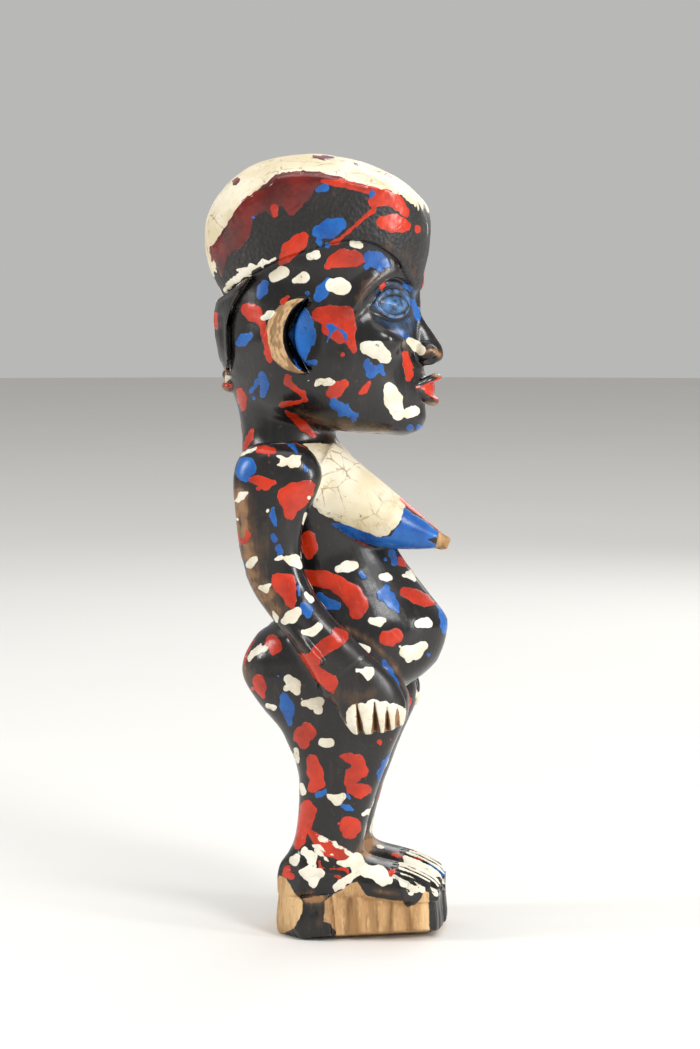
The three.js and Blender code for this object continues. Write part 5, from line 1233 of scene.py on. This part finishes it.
# ---- wear: curvature and rubbed places ----
soft = spread(V, 6, 0.6)
bump = np.einsum("ij,ij->i", V - soft, N)
bump = spread(bump, 1)
wear = np.clip(bump / 0.16, -1, 1.6) * 0.5
for pts, reach, amount, groups in WEAR:
    pts = np.asarray(pts, float)
    i = np.nonzero(np.isin(base, list(groups)))[0]
    d = chain(np.c_[pts, np.zeros(len(pts))], ORTHO[i, 0], ORTHO[i, 1])
    wear[i] += amount * np.exp(-(d / reach) ** 2)
i = np.nonzero(base == 6)[0]
wear[i] += 1.5 * (np.minimum.reduce([polygon(g, ORTHO[i, 0], ORTHO[i, 1]) for g in GAPS]) < 0.2)
i = np.nonzero((base == 11) & (V[:, 2] < 218.5))[0]
wear[i] += 0.9
wear = wear + 0.22 * noise[3](V, (7, 7, 13)) + 0.12 * noise[4](V, 2.4)

# ---- relief ----
relief = 0.10 * noise[2](V, 9.0) + 0.06 * noise[5](V, 4.5)
relief += np.where(base == 3, 0.05 * noise[4](V, 1.3), 0)
for k, thick, dome in (("maroon", 0.30, 2.4), ("red", 0.15, 1.6), ("blue", 0.14, 1.6), ("white", 0.17, 1.4)):
    t = np.clip(-coat[k] / dome, 0, 1) * (1 - 0.85 * np.clip(wash * 1.5, 0, 1))
    relief += thick * np.sqrt(t) * (1 if k == "maroon" else 1)
t = np.clip(-cream / 0.5, 0, 1)
relief += 0.12 * t
m = base == 12
relief[m] += 0.16 * noise[3](V[m], (1.1, 1.1, 9.0))
relief[V[:, 2] < 0.6] = 0
V = V + N * relief[:, None]
N = point_normals(V, Q)
note("paint and relief")

# ---------------------------------------------------------------------------------------------------------
# Materials
# ---------------------------------------------------------------------------------------------------------


def rgb(code):
    code = code.lstrip("#")
    v = [int(code[i:i + 2], 16) / 255 for i in (0, 2, 4)]
    return tuple([c / 12.92 if c <= 0.04045 else ((c + 0.055) / 1.055) ** 2.4 for c in v] + [1.0])


class Nodes:
    def __init__(self, name):
        self.mat = bpy.data.materials.new(name)
        self.mat.use_nodes = True
        self.tree = self.mat.node_tree
        self.tree.nodes.clear()
        self.out = self.tree.nodes.new("ShaderNodeOutputMaterial")
        self.bsdf = self.tree.nodes.new("ShaderNodeBsdfPrincipled")
        self.tree.links.new(self.bsdf.outputs[0], self.out.inputs[0])
        self.coord = self.tree.nodes.new("ShaderNodeTexCoord").outputs["Object"]

    def link(self, a, b):
        if isinstance(a, (int, float)):
            b.default_value = a
        elif isinstance(a, tuple):
            b.default_value = a
        else:
            self.tree.links.new(a, b)

    def noise(self, scale, detail=4.0, rough=0.55, stretch=None, distort=0.0):
        n = self.tree.nodes.new("ShaderNodeTexNoise")
        v = self.coord
        if stretch:
            mp = self.tree.nodes.new("ShaderNodeMapping")
            mp.inputs["Scale"].default_value = stretch
            self.tree.links.new(v, mp.inputs["Vector"])
            v = mp.outputs[0]
        self.tree.links.new(v, n.inputs["Vector"])
        n.inputs["Scale"].default_value = scale
        n.inputs["Detail"].default_value = detail
        n.inputs["Roughness"].default_value = rough
        n.inputs["Distortion"].default_value = distort
        return n.outputs["Fac"]

    def cells(self, scale, feature="F1", stretch=None, out="Distance"):
        n = self.tree.nodes.new("ShaderNodeTexVoronoi")
        n.feature = feature
        v = self.coord
        if stretch:
            mp = self.tree.nodes.new("ShaderNodeMapping")
            mp.inputs["Scale"].default_value = stretch
            self.tree.links.new(v, mp.inputs["Vector"])
            v = mp.outputs[0]
        self.tree.links.new(v, n.inputs["Vector"])
        n.inputs["Scale"].default_value = scale
        return n.outputs[out]

    def math(self, op, a, b=0.0, c=None, clamp=False):
        n = self.tree.nodes.new("ShaderNodeMath")
        n.operation = op
        n.use_clamp = clamp
        self.link(a, n.inputs[0])
        self.link(b, n.inputs[1])
        if c is not None:
            self.link(c, n.inputs[2])
        return n.outputs[0]

    def ramp(self, v, lo, hi, a=0.0, b=1.0, smooth=True):
        n = self.tree.nodes.new("ShaderNodeMapRange")
        n.interpolation_type = "SMOOTHSTEP" if smooth else "LINEAR"
        self.link(v, n.inputs["Value"])
        n.inputs["From Min"].default_value = lo
        n.inputs["From Max"].default_value = hi
        n.inputs["To Min"].default_value = a
        n.inputs["To Max"].default_value = b
        return n.outputs[0]

    def mix(self, fac, a, b, mode="MIX"):
        n = self.tree.nodes.new("ShaderNodeMix")
        n.data_type = "RGBA"
        n.blend_type = mode
        self.link(fac, n.inputs[0])
        self.link(a, n.inputs[6])
        self.link(b, n.inputs[7])
        return n.outputs[2]

    def mixf(self, fac, a, b):
        n = self.tree.nodes.new("ShaderNodeMix")
        n.data_type = "FLOAT"
        self.link(fac, n.inputs[0])
        self.link(a, n.inputs[2])
        self.link(b, n.inputs[3])
        return n.outputs[0]

    def attr(self, name):
        n = self.tree.nodes.new("ShaderNodeAttribute")
        n.attribute_type = "GEOMETRY"
        n.attribute_name = name
        return n.outputs["Fac"]

    def bump(self, height, strength, distance, normal=None):
        n = self.tree.nodes.new("ShaderNodeBump")
        n.inputs["Strength"].default_value = strength
        n.inputs["Distance"].default_value = distance
        self.link(height, n.inputs["Height"])
        if normal is not None:
            self.tree.links.new(normal, n.inputs["Normal"])
        return n.outputs[0]


def carved_wood():
    m = Nodes("carved_painted_wood")
    fine = m.noise(900, 5, 0.6)
    mid = m.noise(160, 5, 0.6)
    broad = m.noise(38, 4, 0.55)
    grain = m.noise(260, 5, 0.65, stretch=(1, 1, 0.085), distort=0.15)  # fibres run up the timber
    rings = m.noise(70, 3, 0.5, stretch=(1, 1, 0.05), distort=0.3)
    jag = m.math("ADD", m.ramp(m.noise(520, 4, 0.6), 0.25, 0.75, -0.30, 0.30, False), m.ramp(mid, 0.25, 0.75, -0.2, 0.2, False))

    pebble = m.attr("pebble")
    wear_v = m.attr("wear")
    # blackened surface
    black = m.mix(m.ramp(broad, 0.35, 0.7), rgb("#131212"), rgb("#201d1c"))
    black = m.mix(m.ramp(grain, 0.52, 0.72, 0, 0.55), black, rgb("#2e2825"))
    black = m.mix(m.ramp(m.noise(420, 3, 0.6), 0.62, 0.74, 0, 0.55), black, rgb("#4a3a2c"))
    wn = m.math("ADD", wear_v, m.math("ADD", m.ramp(grain, 0.3, 0.7, -0.38, 0.38, False), m.ramp(mid, 0.3, 0.7, -0.3, 0.3, False)))
    w1 = m.ramp(wn, 0.35, 1.0)
    w2 = m.ramp(wn, 0.95, 1.75)
    black = m.mix(m.math("MULTIPLY", w1, 0.72), black, rgb("#4b3625"))
    black = m.mix(m.math("MULTIPLY", w2, 0.85), black, rgb("#9a7148"))
    rough = m.mixf(m.ramp(broad, 0.3, 0.7), 0.17, 0.30)
    rough = m.math("ADD", rough, m.ramp(mid, 0.3, 0.7, -0.06, 0.08, False))
    rough = m.mixf(pebble, rough, 0.50)
    rough = m.mixf(m.math("MULTIPLY", w2, 0.7), rough, 0.5)

    # bare wood
    woody = m.mix(m.ramp(rings, 0.3, 0.7), rgb("#a67b4c"), rgb("#d9b582"))
    woody = m.mix(m.ramp(grain, 0.45, 0.75, 0, 0.85), woody, rgb("#7d5632"))
    woody = m.mix(m.ramp(m.noise(620, 5, 0.7, stretch=(1, 1, 0.3)), 0.50, 0.72, 0, 0.42), woody, rgb("#e2c79c"))
    woody = m.mix(m.ramp(m.noise(700, 3, 0.6, stretch=(1, 1, 0.2)), 0.58, 0.75, 0, 0.5), woody, rgb("#57391f"))
    # the ears' sawn faces are darker and streaked outwards from the ear's middle
    aged = m.attr("aged")
    streak = m.attr("streak")
    old = m.mix(m.ramp(m.math("ADD", streak, m.ramp(mid, 0.3, 0.7, -0.25, 0.25, False)), -0.30, 0.40), rgb("#6e4f30"), rgb("#b9966b"))
    old = m.mix(m.ramp(streak, 0.5, 0.9, 0, 0.45), old, rgb("#d3bd98"))
    old = m.mix(m.ramp(m.noise(420, 5, 0.7), 0.56, 0.72, 0, 0.6), old, rgb("#4e3822"))
    woody = m.mix(m.math("MULTIPLY", aged, 0.8), woody, old)
    grime = m.ramp(m.noise(95, 5, 0.7), 0.55, 0.75, 0, 0.75)
    woody = m.mix(m.math("MULTIPLY", grime, m.attr("grime")), woody, rgb("#332820"))
    wmask = m.ramp(m.math("ADD", m.attr("wood"), m.math("MULTIPLY", jag, 0.8)), -0.18, 0.18, 1, 0)
    colour = m.mix(wmask, black, woody)
    rough = m.mixf(wmask, rough, 0.74)

    # cream enamel, thick and yellowed, with hair cracks and grime
    crack = m.cells(150, "DISTANCE_TO_EDGE")
    crack = m.ramp(m.math("ADD", crack, m.ramp(mid, 0.3, 0.7, -0.02, 0.05, False)), 0.0, 0.022, 1, 0)
    cream_c = m.mix(m.ramp(broad, 0.35, 0.66), rgb("#e4dcc7"), rgb("#d2c39f"))
    cream_c = m.mix(m.ramp(m.noise(60, 5, 0.7), 0.52, 0.70, 0, 0.7), cream_c, rgb("#bba77d"))
    cream_c = m.mix(m.math("MULTIPLY", crack, m.math("MAXIMUM", m.ramp(broad, 0.40, 0.60, 0, 0.5), m.math("MULTIPLY", m.attr("creamy"), 0.42))), cream_c, rgb("#937b50"))
    hair = m.ramp(m.math("ADD", m.cells(120, "DISTANCE_TO_EDGE"), m.ramp(m.noise(230, 3, 0.6), 0.3, 0.7, -0.03, 0.05, False)), 0.0, 0.05, 1, 0)
    hair = m.math("MULTIPLY", hair, m.ramp(m.noise(42, 4, 0.6), 0.44, 0.56, 0, 0.75))
    cream_c = m.mix(m.math("MULTIPLY", hair, m.attr("creamy")), cream_c, rgb("#8c7347"))
    speck = m.ramp(m.noise(330, 4, 0.7), 0.64, 0.70)
    cream_c = m.mix(m.math("MULTIPLY", speck, 0.7), cream_c, rgb("#5b4630"))

    def coat_mask(name, edge=0.10, jagged=0.45):
        return m.ramp(m.math("ADD", m.attr(name), m.math("MULTIPLY", jag, jagged)), -edge, edge, 1, 0)

    ck = coat_mask("cream", 0.12, 1.0)
    chips = m.ramp(m.math("ADD", m.noise(120, 5, 0.62), m.math("MULTIPLY", m.attr("wear"), 0.05)), 0.70, 0.72)
    ck = m.math("MULTIPLY", ck, m.math("SUBTRACT", 1.0, m.math("MULTIPLY", chips, 0.9)))
    under = m.mix(m.ramp(mid, 0.45, 0.55), colour, rgb("#5a1712"))
    colour = m.mix(m.math("MULTIPLY", chips, m.attr("creamy")), colour, under)
    colour = m.mix(ck, colour, cream_c)
    rough = m.mixf(ck, rough, 0.52)

    layers = (
        ("maroon", rgb("#701811"), rgb("#430e0a"), 0.12),
        ("red", rgb("#c5300f"), rgb("#9c230d"), 0.24),
        ("blue", rgb("#1862b0"), rgb("#0f4990"), 0.26),
        ("white", rgb("#ebe6d6"), rgb("#d5ccb4"), 0.36),
    )
    film = ck
    thin = m.math("MULTIPLY", m.attr("wash"), m.ramp(m.math("ADD", m.noise(300, 5, 0.7), m.ramp(mid, 0.3, 0.7, -0.10, 0.10, False)), 0.32, 0.66))
    colour = m.mix(m.math("MINIMUM", m.math("MULTIPLY", thin, 0.62), 0.85), colour, rgb("#5594d6"))
    for name, a, b, gloss in layers:
        k = coat_mask(name)
        spots = m.ramp(m.noise(210 if name != "white" else 260, 5, 0.65), 0.66, 0.73)
        k = m.math("MULTIPLY", k, m.math("SUBTRACT", 1.0, m.math("MULTIPLY", spots, 0.75)))
        c = m.mix(m.ramp(m.noise(90, 4, 0.6), 0.35, 0.68), a, b)
        c = m.mix(m.ramp(fine, 0.62, 0.78, 0, 0.30), c, rgb("#241a16"))
        if name == "white":
            c = m.mix(m.math("MULTIPLY", crack, 0.35), c, rgb("#8a744c"))
        colour = m.mix(k, colour, c)
        rough = m.mixf(k, rough, m.math("ADD", gloss, m.ramp(mid, 0.3, 0.7, -0.04, 0.08, False)))
        film = m.math("MAXIMUM", film, k)

    m.link(colour, m.bsdf.inputs["Base Color"])
    m.link(m.math("MAXIMUM", rough, 0.08), m.bsdf.inputs["Roughness"])
    m.bsdf.inputs["Specular IOR Level"].default_value = 0.5

    grit = m.math("MULTIPLY", m.cells(620), m.math("MULTIPLY", pebble, m.math("SUBTRACT", 1.0, film)))
    fibre = m.math("MULTIPLY", grain, m.ramp(film, 0, 1, 1.0, 0.25, False))
    fibre = m.math("MULTIPLY", fibre, m.mixf(wmask, 0.22, 2.3))
    h = m.math("ADD", m.math("MULTIPLY", fibre, 0.5), m.math("MULTIPLY", grit, 1.3))
    h = m.math("ADD", h, m.math("MULTIPLY", m.math("MULTIPLY", streak, aged), 0.22))
    h = m.math("ADD", h, m.math("MULTIPLY", film, 0.55))
    h = m.math("ADD", h, m.math("MULTIPLY", mid, 0.22))
    h = m.math("ADD", h, m.math("MULTIPLY", fine, 0.07))
    h = m.math("SUBTRACT", h, m.math("MULTIPLY", m.math("MULTIPLY", crack, film), 0.12))
    nrm = m.bump(h, 0.85, 0.00028)
    m.link(nrm, m.bsdf.inputs["Normal"])
    return m.mat


material = carved_wood()

# ---------------------------------------------------------------------------------------------------------
# Pieces: one closed mesh for each carved region, sharing its border points with its neighbours
# ---------------------------------------------------------------------------------------------------------
attrs = {k: np.clip(v, -CLIP, CLIP) for k, v in coat.items()}
attrs["cream"] = np.clip(cream, -CLIP, CLIP)
attrs["wood"] = np.clip(wood, -CLIP, CLIP)
attrs["wear"] = np.clip(wear, -1, 3)
attrs["pebble"] = spread((base == 3).astype(float), 3)
attrs["creamy"] = (np.clip(cream, -1, 1) < 0).astype(float)
attrs["grime"] = np.where(base == 12, 1.0, 0.8)
attrs["wash"] = wash
attrs["aged"] = (base == 10).astype(float)
turn = np.arctan2(V[:, 2] - 231, V[:, 1] + 6)
reach = np.hypot(V[:, 2] - 231, V[:, 1] + 6)
attrs["streak"] = np.where(base == 10, noise[3](np.stack([turn * 3.2, reach * 1.0, 0 * turn], -1), 0.8), 0.0)
attrs["streak"] += np.where(base == 10, 0.5 * noise[4](np.stack([turn * 5, reach * 1.0, 0 * turn], -1), 0.45), 0.0)
P = np.stack([V[:, 0], -(V[:, 1] + CY), V[:, 2]], -1) / 1000.0
PN = np.stack([N[:, 0], -N[:, 1], N[:, 2]], -1)
QF = Q[:, ::-1]  # the change of axes mirrors, so the faces turn round


def loops_of(faces):
    e = np.concatenate([faces[:, [0, 1]], faces[:, [1, 2]], faces[:, [2, 3]], faces[:, [3, 0]]])
    k = np.sort(e, 1)
    k = k[:, 0] * len(P) + k[:, 1]
    _, inv, cnt = np.unique(k, return_inverse=True, return_counts=True)
    b = e[cnt[inv] == 1]
    nxt = {}
    for a, c in b:
        nxt.setdefault(int(a), []).append(int(c))
    loops = []
    while nxt:
        start = next(iter(nxt))
        loop, cur = [start], start
        while True:
            n = nxt[cur].pop()
            if not nxt[cur]:
                del nxt[cur]
            if n == start:
                break
            if n in loop[-60:] and n not in nxt:  # a pinch: close the small loop here
                break
            loop.append(n)
            cur = n
            if cur not in nxt:
                break
        if len(loop) > 2:
            loops.append(loop)
    return loops


def make_piece(name, node, lab):
    faces = QF[fl == lab]
    loops = loops_of(faces)
    used, inv = np.unique(faces.ravel(), return_inverse=True)
    local = inv.reshape(-1, 4)
    index = {int(g): n for n, g in enumerate(used)}
    co = [P[used]]
    tri = []
    n0 = len(used)
    extra_n = []
    for loop in loops:
        c = P[loop].mean(0)
        nn = PN[loop].mean(0)
        depth = 0.0004 if len(loop) < 60 else 0.0
        co.append((c - nn * depth)[None])
        extra_n.append(nn)
        ids = [index[g] for g in loop]
        for a, b in zip(ids, ids[1:] + ids[:1]):
            tri.append((b, a, n0))
        n0 += 1
    co = np.concatenate(co)
    me = bpy.data.meshes.new(name)
    nq, nt = len(local), len(tri)
    me.vertices.add(len(co))
    me.vertices.foreach_set("co", co.astype(np.float32).ravel())
    li = np.concatenate([local.ravel(), np.asarray(tri, np.int64).ravel()]) if nt else local.ravel()
    me.loops.add(len(li))
    me.loops.foreach_set("vertex_index", li.astype(np.int32))
    me.polygons.add(nq + nt)
    starts = np.concatenate([np.arange(nq) * 4, nq * 4 + np.arange(nt) * 3])
    me.polygons.foreach_set("loop_start", starts.astype(np.int32))
    me.update(calc_edges=True)
    me.validate(verbose=False)
    me.polygons.foreach_set("use_smooth", np.ones(len(me.polygons), bool))
    normals = np.concatenate([PN[used], np.asarray(extra_n).reshape(-1, 3)]) if extra_n else PN[used]
    for k, v in attrs.items():
        at = me.attributes.new(k, "FLOAT", "POINT")
        val = np.concatenate([v[used], np.full(len(co) - len(used), 0.0)])
        at.data.foreach_set("value", val.astype(np.float32))
    me.normals_split_custom_set_from_vertices([tuple(v) for v in normals])
    ob = bpy.data.objects.new(name, me)
    bpy.context.scene.collection.objects.link(ob)
    me.materials.append(material)
    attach(ob, "root")
    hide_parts(node)
    return ob, len(loops)


for lab in sorted(set(fl.tolist())):
    kind = name_of[lab % LEFT]
    node = kind if lab % LEFT not in PAIRED else ("left_" if lab >= LEFT else "right_") + kind
    ob, n_loops = make_piece("carved_" + node, node, lab)
    note(f"{ob.name}: {len(ob.data.polygons)} faces, {n_loops} borders")

# ---------------------------------------------------------------------------------------------------------
# Stage, light and camera
# ---------------------------------------------------------------------------------------------------------
bpy.ops.mesh.primitive_circle_add(vertices=96, radius=6.0, fill_type="NGON", location=(0, 0, -0.0002))
floor = bpy.context.object
floor.name = "floor"
fm = Nodes("pale_floor")
fm.link(fm.mix(fm.noise(3.0, 2), rgb("#dad8d4"), rgb("#dfddd9")), fm.bsdf.inputs["Base Color"])
fm.bsdf.inputs["Roughness"].default_value = 0.85
floor.data.materials.append(fm.mat)

world = bpy.data.worlds.new("studio")
bpy.context.scene.world = world
world.use_nodes = True
world.node_tree.nodes["Background"].inputs[0].default_value = (0.80, 0.80, 0.79, 1)
world.node_tree.nodes["Background"].inputs[1].default_value = 0.60


def softbox(name, at, size, power, target=(0, 0, 0.16)):
    data = bpy.data.lights.new(name, "AREA")
    data.shape = "RECTANGLE"
    data.size, data.size_y = size
    data.energy = power
    ob = bpy.data.objects.new(name, data)
    bpy.context.scene.collection.objects.link(ob)
    d = np.array(target) - np.array(at)
    from mathutils import Vector
    ob.location = at
    ob.rotation_euler = Vector(d).to_track_quat("-Z", "Y").to_euler()
    return ob


softbox("key", (-0.85, -0.80, 0.95), (0.32, 0.50), 9.5)
softbox("side", (-0.32, 1.10, 0.58), (0.20, 0.55), 6.5)
softbox("front", (-0.42, -1.10, 0.36), (0.17, 0.46), 6.0)
softbox("top", (0.0, 0.0, 3.2), (3.5, 3.5), 60)
softbox("far", (1.1, -0.3, 0.8), (0.6, 0.8), 4)

cam = bpy.data.cameras.new("camera")
cam.lens = 98.05
cam.sensor_width = 36
cam.sensor_fit = "AUTO"
cam.clip_end = 50
view = bpy.data.objects.new("camera", cam)
bpy.context.scene.collection.objects.link(view)
th, pitch = math.radians(7.0), math.atan(250 / 2857)
view.location = (EYE[0] / 1000, -(EYE[1] + CY) / 1000, EYE[2] / 1000)
from mathutils import Vector
ahead = Vector((math.cos(th) * math.cos(pitch), math.sin(th) * math.cos(pitch), -math.sin(pitch)))
view.rotation_euler = ahead.to_track_quat("-Z", "Y").to_euler()
bpy.context.scene.camera = view
bpy.context.scene.view_settings.view_transform = "Standard"

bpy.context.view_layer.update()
note("done")
